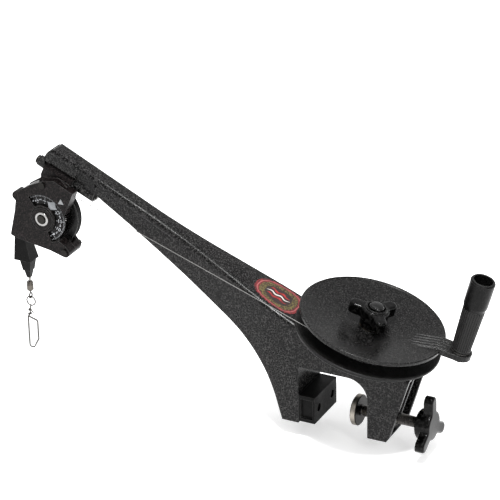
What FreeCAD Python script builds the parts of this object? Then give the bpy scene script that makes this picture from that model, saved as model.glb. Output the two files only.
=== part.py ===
import FreeCAD, Part
import math
import os
from types import SimpleNamespace

import Sketcher
from FreeCAD import Placement, Rotation, Vector

# A manual downrigger: frame with boom, clamp, cable reel and swivelling pulley head.
# Millimetres. The origin is the centre of the throat's ceiling, +X towards the clamp knob, +Z up.

document = FreeCAD.newDocument("downrigger")
sheet = document.addObject("Spreadsheet::Sheet", "Sizes")

DRIVING_SIZES = {
    "throat_width": 81.6,
    "foot_depth": 68,
    "body_half_width": 28,
    "seat_wall": 8,
    "shell_wall": 4.5,
    "rib_wall": 4,
    "deck_corner_x": -36,
    "deck_corner_z": 46.1,
    "deck_end_x": 89,
    "deck_tilt": 15.44,
    "boom_rise": 25.87,
    "boom_half_width": 10.8,
    "lug_half_width": 6.2,
    "flare_angle": 7.8,
    "flare_start_x": -195.7,
    "flare_blend": 20,
    "leg_toe_x": 66,
    "leg_toe_z": -63,
    "leg_sole_x": 62.8,
    "left_sole_x": -60.6,
    "left_bend_x": -66,
    "left_bend_z": -50,
    "arch_end_x": -128.2,
    "arch_end_z": 38.3,
    "arch_radius": 152,
    "throat_fillet": 23,
    "boom_edge_radius": 5,
    "side_recess": 1.5,
    "recess_drop": 8,
    "cell_start_x": -297.7,
    "cell_end_x": -102.2,
    "cell_count": 4,
    "pin_x": -341.75,
    "pin_z": 161.86,
    "pin_tilt": 24.54,
    "notch_height": 10.5,
    "pin_radius": 3,
    "pin_play": 0.06,
    "right_lug_radius": 7.2,
    "left_lug_radius": 6.2,
    "left_lug_out": 31,
    "left_lug_in": 21.2,
    "right_lug_in": 19,
    "right_lug_out": 46,
    "lug_web_half": 5,
    "lug_web_top": 19,
    "nose_shift": 17.1,
    "nose_height": 29.7,
    "nose_radius": 6.5,
    "web_height": 14.5,
    "web_shift": 23.3,
    "jaw_thickness": 19.7,
    "jaw_top_z": -34,
    "jaw_bottom_z": -65.5,
    "jaw_screw_y": 17,
    "jaw_screw_radius": 2.5,
    "clamp_z": -52,
    "screw_radius": 6,
    "screw_play": 0.06,
    "insert_radius": 9,
    "insert_length": 19,
    "screw_boss_radius": 11.5,
    "disc_face_x": 14.9,
    "disc_thickness": 6.7,
    "disc_radius": 17.4,
    "disc_neck_radius": 4,
    "disc_neck_length": 4.5,
    "clamp_hub_x": 89.7,
    "clamp_hub_radius": 16.5,
    "clamp_hub_length": 7.3,
    "clamp_star_thickness": 10,
    "clamp_lobe_reach": 34.5,
    "lobe_half_width": 6.8,
    "reel_x": 35.1,
    "reel_lift": 33.58,
    "shaft_radius": 6,
    "shaft_play": 0.05,
    "shaft_flat": 1.3,
    "boss_radius": 25,
    "spool_bottom": 24,
    "spool_floor": 4,
    "spool_rim_overhang": 0.5,
    "drum_radius": 48.5,
    "drum_wall": 4,
    "drum_top": 9,
    "hub_radius": 16,
    "hub_top": 13,
    "bush_radius": 9,
    "bush_flange_radius": 12.5,
    "bush_flange": 2,
    "flange_bore": 13,
    "flange_plate": 4,
    "rim_radius": 80,
    "rim_lip": 4.6,
    "dish_radius": 26,
    "flange_screw_circle": 30,
    "flange_screw_radius": 2.5,
    "washer_radius": 11,
    "washer_top": 6.6,
    "clutch_hub_radius": 13.5,
    "clutch_star_bottom": 1.5,
    "clutch_star_thickness": 12,
    "clutch_lobe_reach": 29,
    "cap_radius": 8,
    "cap_top": 18.5,
    "crank_angle": 10,
    "crank_reach": 98,
    "crank_lug_radius": 13,
    "crank_lug_drop": 6.5,
    "arm_half_width": 12.5,
    "arm_start": 42,
    "arm_rib": 1.1,
    "grip_length": 89,
    "grip_base_radius": 10.4,
    "grip_top_radius": 13.5,
    "grip_bore": 10.6,
    "grip_bore_depth": 24,
    "grip_bolt_radius": 4,
    "grip_gap": 1,
    "cable_radius": 0.4,
    "winding_core_radius": 56.4,
    "winding_turns": 5,
    "winding_pitch": 2.0,
    "run_height": 11,
    "head_x": -359.5,
    "head_z": 112.5,
    "wheel_radius": 37.5,
    "groove_radius": 33.5,
    "wheel_half": 4.6,
    "wheel_hub_radius": 9,
    "axle_radius": 4,
    "axle_flat": 1,
    "case_front": 19.5,
    "case_plate": 2.5,
    "case_back": 6.5,
    "case_bore": 30.5,
    "plate_front": 5,
    "plate_back": 9,
    "neck_left": 20.4,
    "neck_right": 18.2,
    "neck_radius": 9.5,
    "case_bolt_radius": 2,
    "dial_radius": 28,
    "gear_module": 0.6,
    "fixed_teeth": 60,
    "dial_teeth": 61,
    "pinion_teeth": 12,
    "ring_outer": 8.3,
    "ring_inner": 5.6,
    "drop_end_z": 23.5,
    "barrel_top_z": 20.7,
    "barrel_bottom_z": 8.5,
    "barrel_radius": 4,
    "snap_wire": 0.9,
}


class Size:
    """A number together with the formula that gives it from the sheet's cells."""

    def __init__(self, value, formula):
        self.value = value
        self.formula = formula

    def join(self, other, sign, value):
        return Size(value, "(%s %s %s)" % (self.formula, sign, other.formula))

    def __add__(self, other):
        other = as_size(other)
        return self.join(other, "+", self.value + other.value)

    def __radd__(self, other):
        return as_size(other) + self

    def __sub__(self, other):
        other = as_size(other)
        return self.join(other, "-", self.value - other.value)

    def __rsub__(self, other):
        return as_size(other) - self

    def __mul__(self, other):
        other = as_size(other)
        return self.join(other, "*", self.value * other.value)

    def __rmul__(self, other):
        return as_size(other) * self

    def __truediv__(self, other):
        other = as_size(other)
        return self.join(other, "/", self.value / other.value)

    def __rtruediv__(self, other):
        return as_size(other) / self

    def __neg__(self):
        return Size(-self.value, "(-%s)" % self.formula)


def as_size(number):
    if isinstance(number, Size):
        return number
    text = "%.6f" % number
    return Size(float(number), "(%s)" % text if number < 0 else text)


def wave(name, angle):
    angle = as_size(angle)
    return Size(getattr(math, name)(math.radians(angle.value)), "%s(%s)" % (name, angle.formula))


def fill_sheet(numbers):
    """Write each driving size in a cell of its own and return them by name."""
    found = {}
    for row, (name, number) in enumerate(numbers.items(), start=1):
        sheet.set("A%d" % row, name)
        sheet.set("B%d" % row, "%s" % number)
        sheet.setAlias("B%d" % row, name)
        found[name] = Size(float(number), "Sizes.%s" % name)
    document.recompute()
    return SimpleNamespace(**found)


s = fill_sheet(DRIVING_SIZES)
pieces = []


# Helpers that make and bind objects of the document

def bind(item, path, size):
    size = as_size(size)
    if "Sizes." in size.formula:
        item.setExpression(path, size.formula)


def seat_item(item, seat):
    """Place a piece: a point in the XZ plane, then a turn about +Y."""
    x, y, z, turn = [as_size(part) for part in seat]
    item.Placement = Placement(Vector(x.value, y.value, z.value), Rotation(Vector(0, 1, 0), turn.value))
    bind(item, "Placement.Base.x", x)
    bind(item, "Placement.Base.y", y)
    bind(item, "Placement.Base.z", z)
    bind(item, "Placement.Rotation.Angle", turn)


def new_body(name, seat=(0, 0, 0, 0)):
    item = document.addObject("PartDesign::Body", name)
    item.Label = name
    seat_item(item, seat)
    pieces.append(item)
    return item


def origin_part(item, role):
    return [part for part in item.Origin.OriginFeatures if part.Role == role][0]


class Arc:
    """The edge from the corner before it to the one after it: a radius, centre left (1) or right (-1)."""

    def __init__(self, radius, side):
        self.radius = as_size(radius)
        self.side = side


class Circle:
    def __init__(self, x, y, radius):
        self.x = as_size(x)
        self.y = as_size(y)
        self.radius = as_size(radius)


def fix_value(drawing, constraint, size):
    index = drawing.addConstraint(constraint)
    bind(drawing, "Constraints[%d]" % index, size)


def fix_point(drawing, geometry, point, x, y):
    fix_value(drawing, Sketcher.Constraint("DistanceX", -1, 1, geometry, point, x.value), x)
    fix_value(drawing, Sketcher.Constraint("DistanceY", -1, 1, geometry, point, y.value), y)


def arc_between(first, last, arc):
    """The arc as geometry, with the numbers of its first and last points."""
    start = Vector(first[0].value, first[1].value, 0)
    end = Vector(last[0].value, last[1].value, 0)
    chord = end - start
    radius = arc.radius.value
    reach = math.sqrt(max(radius ** 2 - (chord.Length / 2) ** 2, 0))
    left = Vector(-chord.y, chord.x, 0).normalize()
    centre = start + chord * 0.5 + left * (reach * arc.side)
    from_point, to_point = (start, end) if arc.side > 0 else (end, start)
    begin = math.atan2(from_point.y - centre.y, from_point.x - centre.x)
    finish = math.atan2(to_point.y - centre.y, to_point.x - centre.x)
    circle = Part.Circle(centre, Vector(0, 0, 1), radius)
    order = (1, 2) if arc.side > 0 else (2, 1)
    return Part.ArcOfCircle(circle, begin, finish), order


def draw(drawing, outline):
    """Add one closed outline of corners, arcs and lines, each corner bound to its formula."""
    if isinstance(outline, Circle):
        centre = Vector(outline.x.value, outline.y.value, 0)
        geometry = drawing.addGeometry(Part.Circle(centre, Vector(0, 0, 1), outline.radius.value))
        fix_point(drawing, geometry, 3, outline.x, outline.y)
        fix_value(drawing, Sketcher.Constraint("Radius", geometry, outline.radius.value), outline.radius)
        return
    corners = []
    arcs = {}
    for item in outline:
        if isinstance(item, Arc):
            arcs[len(corners) - 1] = item
        else:
            corners.append((as_size(item[0]), as_size(item[1])))
    edges = []
    for index, corner in enumerate(corners):
        following = corners[(index + 1) % len(corners)]
        if index in arcs:
            shape, order = arc_between(corner, following, arcs[index])
        else:
            start = Vector(corner[0].value, corner[1].value, 0)
            end = Vector(following[0].value, following[1].value, 0)
            shape, order = Part.LineSegment(start, end), (1, 2)
        edges.append((drawing.addGeometry(shape), order))
    for index, corner in enumerate(corners):
        geometry, order = edges[index]
        before, order_before = edges[index - 1]
        drawing.addConstraint(Sketcher.Constraint("Coincident", before, order_before[1], geometry, order[0]))
        fix_point(drawing, geometry, order[0], corner[0], corner[1])
        if index in arcs:
            radius = arcs[index].radius
            fix_value(drawing, Sketcher.Constraint("Radius", geometry, radius.value), radius)


def sketch(item, plane, outlines, at=(0, 0, 0), turn=0):
    """A sketch on one of the body's own origin planes, moved by at and turned clockwise by turn."""
    drawing = item.newObject("Sketcher::SketchObject", item.Label + "_sketch")
    drawing.AttachmentSupport = [(origin_part(item, plane + "_Plane"), "")]
    drawing.MapMode = "FlatFace"
    x, y, z = [as_size(part) for part in at]
    turn = as_size(turn)
    place = Vector(x.value, y.value, z.value)
    drawing.AttachmentOffset = Placement(place, Rotation(Vector(0, 0, -1), turn.value))
    bind(drawing, "AttachmentOffset.Base.x", x)
    bind(drawing, "AttachmentOffset.Base.y", y)
    bind(drawing, "AttachmentOffset.Base.z", z)
    bind(drawing, "AttachmentOffset.Rotation.Angle", turn)
    for outline in outlines:
        draw(drawing, outline)
    drawing.Visibility = False
    return drawing


# The sketch's own normal is -Y on the XZ plane, so a place along it changes sign there
NORMAL_SIGN = {"XY": 1, "XZ": -1, "YZ": 1}


def slab(item, kind, plane, outlines, low, high, at=(0, 0), turn=0):
    """Pad or Pocket outlines between two places on the plane's normal axis."""
    middle = (as_size(low) + high) / 2 * NORMAL_SIGN[plane]
    drawing = sketch(item, plane, outlines, (at[0], at[1], middle), turn)
    feature = item.newObject("PartDesign::" + kind, item.Label + "_" + kind.lower())
    feature.Profile = drawing
    feature.SideType = "Symmetric"
    feature.Type = "Length"
    length = as_size(high) - low
    feature.Length = length.value
    bind(feature, "Length", length)
    return feature


def turned(item, kind, profile, along="Z", at=(0, 0), turn=0):
    """Revolve or groove a profile of (radius, place) corners about an axis of the sketch."""
    plane = "YZ" if along == "Y" else "XZ"
    swap = along != "Z"
    outline = []
    for corner in profile:
        if isinstance(corner, Arc):
            outline.append(Arc(corner.radius, -corner.side) if swap else corner)
        else:
            outline.append((corner[1], corner[0]) if swap else corner)
    drawing = sketch(item, plane, [outline], (at[0], at[1], 0), turn)
    feature = item.newObject("PartDesign::" + kind, item.Label + "_" + kind.lower())
    feature.Profile = drawing
    feature.ReferenceAxis = (drawing, ["H_Axis" if swap else "V_Axis"])
    feature.Angle = 360
    return feature


def turned_piece(name, seat, profile, along="Z"):
    item = new_body(name, seat)
    turned(item, "Revolution", profile, along)
    return item


def pattern(item, features, count, axis="Z"):
    made = item.newObject("PartDesign::PolarPattern", item.Label + "_pattern")
    made.Originals = features
    made.Axis = (origin_part(item, axis + "_Axis"), [""])
    made.Angle = 360
    made.Occurrences = count
    item.Tip = made
    return made


def round_edges(item, radius, wanted):
    """Fillet the edges of the piece so far that the test picks."""
    document.recompute()
    base = item.Tip
    names = ["Edge%d" % (number + 1) for number, edge in enumerate(base.Shape.Edges) if wanted(edge)]
    feature = item.newObject("PartDesign::Fillet", item.Label + "_fillet")
    feature.Base = (base, names)
    radius = as_size(radius)
    feature.Radius = radius.value
    bind(feature, "Radius", radius)
    return feature


def ring_profile(inner, outer, low, high):
    return [(inner, low), (outer, low), (outer, high), (inner, high)]


def rod_profile(radius, low, high):
    return ring_profile(0, radius, low, high)


def hexagon(across_flats, x=0, y=0):
    """The corners of a hexagon round a point."""
    reach = as_size(across_flats) / wave("cos", 30) / 2
    return [(x + reach * math.cos(math.radians(60 * step)), y + reach * math.sin(math.radians(60 * step)))
            for step in range(6)]


def plain_solid(name, shape, seat=None):
    """A piece whose shape is worked out from the sheet's numbers."""
    item = document.addObject("Part::Feature", name)
    item.Label = name
    item.Shape = shape
    if seat:
        seat_item(item, seat)
    pieces.append(item)
    return item


# Places that several pieces share

deck_slope = wave("tan", s.deck_tilt)
boom_slope = wave("tan", s.boom_rise)
throat_half = s.throat_width / 2


def deck_z(x):
    return s.deck_corner_z - deck_slope * (x - s.deck_corner_x)


def boom_top_z(x):
    return s.deck_corner_z - boom_slope * (x - s.deck_corner_x)


def pin_point(along, above):
    """A point in the side view from its place along and above the swivel pin."""
    cos_tilt = wave("cos", s.pin_tilt)
    sin_tilt = wave("sin", s.pin_tilt)
    return (s.pin_x + along * cos_tilt + above * sin_tilt, s.pin_z - along * sin_tilt + above * cos_tilt)


reel_z = deck_z(s.reel_x) + s.reel_lift / wave("cos", s.deck_tilt)
WORLD = (0, 0, 0, 0)
REEL = (s.reel_x, 0, reel_z, s.deck_tilt)
HEAD = (s.head_x, 0, s.head_z, 0)
PIN = (s.pin_x, 0, s.pin_z, s.pin_tilt)
CLAMP = (0, 0, s.clamp_z, 0)

crank_u = s.crank_reach * wave("cos", s.crank_angle)
crank_v = s.crank_reach * wave("sin", s.crank_angle)
CRANK = (s.reel_x + crank_u * wave("cos", s.deck_tilt), crank_v,
         reel_z - crank_u * wave("sin", s.deck_tilt), s.deck_tilt)


# Frame

def frame_side_outline():
    fillet = s.throat_fillet
    return [
        (s.deck_end_x, deck_z(s.deck_end_x)),
        (s.deck_corner_x, s.deck_corner_z),
        pin_point(-s.nose_shift, s.nose_height),
        Arc(22, 1),
        pin_point(-s.web_shift, s.web_height),
        pin_point(-s.web_shift - 2.7, s.web_height - 7.5),
        pin_point(-s.left_lug_out, 2),
        pin_point(-s.left_lug_out, 0),
        pin_point(-s.left_lug_in, 0),
        pin_point(-s.left_lug_in, s.notch_height),
        pin_point(s.right_lug_in, s.notch_height),
        pin_point(s.right_lug_in, 0),
        pin_point(s.right_lug_out, 0),
        pin_point(s.right_lug_out, s.notch_height - 2.3),
        (s.arch_end_x, s.arch_end_z),
        Arc(s.arch_radius, -1),
        (s.left_bend_x, s.left_bend_z),
        (s.left_sole_x, -s.foot_depth),
        (-throat_half, -s.foot_depth),
        (-throat_half, 0),
        (throat_half - fillet, 0),
        Arc(fillet, -1),
        (throat_half, -fillet),
        (throat_half, -s.foot_depth),
        (s.leg_sole_x, -s.foot_depth),
        (s.leg_toe_x, s.leg_toe_z),
    ]


def plan_cut(side):
    """What is cut away beside the boom in plan, on one side."""
    slope = wave("tan", s.flare_angle)
    bend_one = s.flare_blend * 2
    bend_two = s.flare_blend
    half_turn = wave("tan", s.flare_angle / 2)
    cos_flare = wave("cos", s.flare_angle)
    sin_flare = wave("sin", s.flare_angle)
    step_x = s.pin_x - s.web_shift + 6
    outside = s.body_half_width + 12
    end_x = s.flare_start_x + (s.body_half_width - s.boom_half_width) / slope
    points = [
        (s.pin_x - 70, s.lug_half_width),
        (step_x, s.lug_half_width),
        (step_x, s.boom_half_width),
        (s.flare_start_x - bend_one, s.boom_half_width),
        Arc(bend_one / half_turn, side),
        (s.flare_start_x + bend_one * cos_flare, s.boom_half_width + bend_one * sin_flare),
        (end_x - bend_two * cos_flare, s.body_half_width - bend_two * sin_flare),
        Arc(bend_two / half_turn, -side),
        (end_x + bend_two, s.body_half_width),
        (end_x + bend_two, outside),
        (s.pin_x - 70, outside),
    ]
    return [item if isinstance(item, Arc) else (item[0], as_size(item[1]) * side) for item in points]


def half_width_at(x):
    """The frame's half width on the straight part of the flare."""
    return s.boom_half_width + (x - s.flare_start_x) * wave("tan", s.flare_angle)


def hollow(item, left, right, half_width, floor_left, floor_right):
    """One open cell under the boom's top, between two cross ribs."""
    outline = [(left, boom_top_z(left) - s.shell_wall), (left, floor_left),
               (right, floor_right), (right, boom_top_z(right) - s.shell_wall)]
    slab(item, "Pocket", "XZ", [outline], -half_width, half_width)


def make_frame():
    item = new_body("frame")
    half = s.body_half_width
    slab(item, "Pad", "XZ", [frame_side_outline()], -half, half)
    slab(item, "Pocket", "XY", [plan_cut(1), plan_cut(-1)], -120, 260)

    def on_top_edge(edge):
        for vertex in edge.Vertexes:
            point = vertex.Point
            top = boom_top_z(s.deck_corner_x).value - boom_slope.value * (point.x - s.deck_corner_x.value)
            if point.x > s.deck_corner_x.value:
                top = deck_z(s.reel_x).value - deck_slope.value * (point.x - s.reel_x.value)
            if abs(point.z - top) > 0.01 or abs(point.y) < s.boom_half_width.value - 0.1:
                return False
        ends = [vertex.Point.x for vertex in edge.Vertexes]
        return abs(ends[0] - ends[-1]) > 0.5

    round_edges(item, s.boom_edge_radius, on_top_edge)
    nose_x = s.pin_x + 1.2
    nose = [(nose_x, boom_top_z(nose_x)), (nose_x - 2, boom_top_z(nose_x) + 9),
            pin_point(-s.nose_shift - 9, s.nose_height + 3), pin_point(-s.nose_shift - 7, s.nose_height - 6),
            pin_point(-s.nose_shift - 2.2, s.nose_height - 4.9), Arc(s.nose_radius, -1)]
    slab(item, "Pocket", "XZ", [nose], -half, half)

    # The boom's sides step in under its top
    def along(x):
        return (x - s.deck_corner_x) / wave("cos", s.boom_rise)

    depth = s.boom_half_width - s.side_recess
    slivers = []
    for side in (1, -1):
        slivers.append([(along(s.pin_x), depth * side),
                        (along(s.flare_start_x - 44), depth * side),
                        (along(s.flare_start_x - 4), (depth + 1.7) * side),
                        (along(s.flare_start_x + 34), (depth + 6.6) * side),
                        (along(s.flare_start_x + 34), (depth + 12) * side),
                        (along(s.pin_x), (depth + 12) * side)])
    drawing = sketch(item, "XY", slivers)
    drawing.AttachmentOffset = Placement(Vector(0, 0, 0), Rotation(Vector(0, 1, 0), s.boom_rise.value))
    drop = s.recess_drop + 20
    bind(drawing, "AttachmentOffset.Rotation.Angle", s.boom_rise)
    bind(drawing, "AttachmentOffset.Base.x", s.deck_corner_x - drop * wave("sin", s.boom_rise))
    bind(drawing, "AttachmentOffset.Base.z", s.deck_corner_z - drop * wave("cos", s.boom_rise))
    feature = item.newObject("PartDesign::Pocket", "frame_recess")
    feature.Profile = drawing
    feature.SideType = "Symmetric"
    feature.Length = 40

    # The right lug hangs on a web narrower than the boom, and both lugs are round about the pin
    low = -s.right_lug_radius - 5
    beside = [pin_point(s.right_lug_in - 1, low), pin_point(s.right_lug_out, low),
              pin_point(s.right_lug_out, s.lug_web_top), pin_point(s.right_lug_in - 1, s.lug_web_top)]
    slab(item, "Pocket", "XZ", [beside], s.lug_web_half, half)
    slab(item, "Pocket", "XZ", [beside], -half, -s.lug_web_half)
    for radius, inner, outer in ((s.left_lug_radius, -s.left_lug_out, -s.left_lug_in),
                                 (s.right_lug_radius, s.right_lug_in, s.right_lug_out)):
        turned(item, "Revolution", rod_profile(radius, inner, outer), "X", (s.pin_x, s.pin_z), s.pin_tilt)
    # The boss that carries the reel
    turned(item, "Revolution", [(0, -s.reel_lift - 6), (s.boss_radius + 2, -s.reel_lift - 6),
                                (s.boss_radius, -s.spool_bottom - 2), (0, -s.spool_bottom - 2)],
           "Z", (s.reel_x, reel_z), s.deck_tilt)

    # Open cells under the boom, with cross ribs between them
    wall = s.shell_wall
    open_below = 90
    cell_pitch = (s.cell_end_x - s.cell_start_x) / s.cell_count
    for number in range(int(s.cell_count.value)):
        left = s.cell_start_x + cell_pitch * number
        right = left + cell_pitch - s.rib_wall
        width = s.boom_half_width - wall + 0.5 if number < 3 else half_width_at(left) - wall
        hollow(item, left, right, width, boom_top_z(left) - open_below, boom_top_z(right) - open_below)
    leg_wall_x = -throat_half - s.seat_wall
    leg_left = s.cell_end_x
    sole = -s.foot_depth + s.seat_wall
    hollow(item, leg_left, leg_wall_x, half_width_at(leg_left) - wall, sole, sole)

    # The right leg is an open channel with a rib along its middle
    channel_x = throat_half + s.seat_wall
    channel_floor = -s.foot_depth + s.seat_wall - 1
    channel = [(channel_x, channel_floor), (s.deck_end_x + 12, channel_floor),
               (s.deck_end_x + 12, deck_z(s.deck_end_x + 12) - wall), (channel_x, deck_z(channel_x) - wall)]
    slab(item, "Pocket", "XZ", [channel], -(half - wall), half - wall)
    rib = [(channel_x - 2, channel_floor - 1), (s.leg_toe_x - 2.5, channel_floor - 1),
           (s.deck_end_x - 3.5, deck_z(s.deck_end_x) - wall + 1), (channel_x - 2, deck_z(channel_x) - wall + 1)]
    slab(item, "Pad", "XZ", [rib], -s.rib_wall / 2, s.rib_wall / 2)
    boss_end = s.leg_sole_x + 2
    turned(item, "Revolution", rod_profile(s.screw_boss_radius, throat_half + 1, boss_end), "X", (0, s.clamp_z))

    # Holes: clamp insert, reel bolt from the throat's ceiling, swivel pin, jaw screws
    insert_end = throat_half + s.insert_length
    screw_way = s.screw_radius + 0.6
    turned(item, "Groove", [(0, throat_half - 3), (s.insert_radius, throat_half - 3),
                            (s.insert_radius, insert_end), (screw_way, insert_end),
                            (screw_way, boss_end + 4), (0, boss_end + 4)], "X", (0, s.clamp_z))
    turned(item, "Groove", [(0, -80), (12.5, -80), (12.5, -51.5), (s.shaft_radius + 0.3, -51.5),
                            (s.shaft_radius + 0.3, -33), (11.6, -33), (11.6, -20), (0, -20)],
           "Z", (s.reel_x, reel_z), s.deck_tilt)
    turned(item, "Groove", rod_profile(s.pin_radius, -60, 70), "X", (s.pin_x, s.pin_z), s.pin_tilt)
    jaw_middle = (s.jaw_top_z + s.jaw_bottom_z) / 2
    holes = [Circle(side * s.jaw_screw_y, jaw_middle, s.jaw_screw_radius) for side in (1, -1)]
    slab(item, "Pocket", "YZ", holes, leg_wall_x + 1, -throat_half + 5)
    return item


# Clamp

def make_jaw():
    item = new_body("jaw_block")
    left = -throat_half
    right = left + s.jaw_thickness
    half = s.body_half_width
    block = [(left, s.jaw_bottom_z), (right, s.jaw_bottom_z), (right, s.jaw_top_z), (left, s.jaw_top_z)]
    slab(item, "Pad", "XZ", [block], -half, half)
    rim = 2.6
    front = [(left + rim, s.jaw_bottom_z + 4), (right - rim, s.jaw_bottom_z + 4),
             (right - rim, s.jaw_top_z - 4), (left + rim, s.jaw_top_z - 4)]
    slab(item, "Pocket", "XZ", [front], -half - 2, -half + 3)
    middle = (s.jaw_top_z + s.jaw_bottom_z) / 2
    for radius, low in ((s.jaw_screw_radius, left - 5), (s.jaw_screw_radius + 2.2, right - 5)):
        holes = [Circle(side * s.jaw_screw_y, middle, radius) for side in (1, -1)]
        slab(item, "Pocket", "YZ", holes, low, right + 5)
    screws = new_body("jaw_screws")
    for radius, low, high in ((s.jaw_screw_radius, left - 7, right - 4.5),
                              (s.jaw_screw_radius + 2, right - 5, right - 2)):
        heads = [Circle(side * s.jaw_screw_y, middle, radius) for side in (1, -1)]
        slab(screws, "Pad", "YZ", heads, low, high)


def lobe_outline(reach, half_width):
    centre = reach - half_width
    return [(0, -half_width), (centre, -half_width), Arc(half_width, 1), (reach, 0), Arc(half_width, 1),
            (centre, half_width), (0, half_width)]


def make_clamp():
    insert_end = throat_half + s.insert_length
    turned_piece("clamp_insert", CLAMP, ring_profile(s.screw_radius + s.screw_play, s.insert_radius,
                                                      throat_half, insert_end), "X")
    disc_back = s.disc_face_x + s.disc_thickness
    neck_end = disc_back - s.disc_neck_length
    play = 0.06
    disc = new_body("clamp_disc", CLAMP)
    turned(disc, "Revolution", [(0, s.disc_face_x), (s.disc_radius - 1, s.disc_face_x),
                                (s.disc_radius, s.disc_face_x + 1),
                                (s.disc_radius, disc_back - 1), (s.disc_radius - 1, disc_back),
                                (s.disc_neck_radius + play, disc_back), (s.disc_neck_radius + play, neck_end),
                                (0, neck_end)], "X")
    hub_end = s.clamp_hub_x + s.clamp_hub_length
    knob_end = hub_end + s.clamp_star_thickness
    screw = new_body("clamp_screw", CLAMP)
    turned(screw, "Revolution", [(0, neck_end + 0.1), (s.disc_neck_radius, neck_end + 0.1),
                                 (s.disc_neck_radius, disc_back + 1), (s.screw_radius, disc_back + 3),
                                 (s.screw_radius, knob_end - 5), (s.screw_radius - 1, knob_end - 4),
                                 (0, knob_end - 4)], "X")
    pin_x = s.clamp_hub_x + 4
    slab(screw, "Pocket", "XY", [Circle(pin_x, 0, 1.5)], -10, 10)
    clip = new_body("clamp_clip", CLAMP)
    turned(clip, "Revolution", ring_profile(s.disc_neck_radius + play, s.disc_neck_radius + 2,
                                            disc_back + 0.1, disc_back + 0.9), "X")

    knob = new_body("clamp_knob", CLAMP)
    turned(knob, "Revolution", [(s.screw_radius, s.clamp_hub_x), (s.clamp_hub_radius - 1.5, s.clamp_hub_x),
                                (s.clamp_hub_radius, s.clamp_hub_x + 1.5), (s.clamp_hub_radius, knob_end), (0, knob_end),
                                (0, knob_end - 4), (s.screw_radius, knob_end - 4)], "X")
    outline = lobe_outline(s.clamp_lobe_reach, s.lobe_half_width)
    lobe = slab(knob, "Pad", "YZ", [outline], hub_end, knob_end, turn=-90)
    pattern(knob, [lobe], 3, "X")
    lobe_rounding(knob, s.clamp_hub_radius, "x", knob_end)
    turned(knob, "Groove", rod_profile(s.screw_radius, s.clamp_hub_x - 1, knob_end - 4), "X")
    slab(knob, "Pocket", "XY", [Circle(pin_x, 0, 1.5)], -20, 20)
    pin = new_body("clamp_knob_pin", CLAMP)
    slab(pin, "Pad", "XY", [Circle(pin_x, 0, 1.5)], -s.clamp_hub_radius + 1, s.clamp_hub_radius - 1)


def lobe_rounding(knob, hub_radius, axis, top):
    """Round the roots of a knob's lobes, then the star's outer edges."""
    other = "y" if axis == "x" else "x"
    third = "z" if axis == "x" else "y"

    def radial(point):
        return math.hypot(getattr(point, other), getattr(point, third))

    def root(edge):
        points = [vertex.Point for vertex in edge.Vertexes]
        if len(points) < 2:
            return False
        long = abs(getattr(points[0], axis) - getattr(points[1], axis)) > 4
        return long and all(abs(radial(point) - hub_radius.value) < 0.3 for point in points) and \
            abs(radial(points[0]) - radial(points[1])) < 0.01 and edge.Curve.TypeId == "Part::GeomLine"

    def rim(edge):
        box = edge.BoundBox
        flat = getattr(box, axis.upper() + "Length") < 0.01 and abs(getattr(box.Center, axis) - top.value) < 0.01
        return flat and max(radial(vertex.Point) for vertex in edge.Vertexes) > hub_radius.value - 0.2

    round_edges(knob, 4, root)
    round_edges(knob, 2.6, rim)


# Reel

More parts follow.
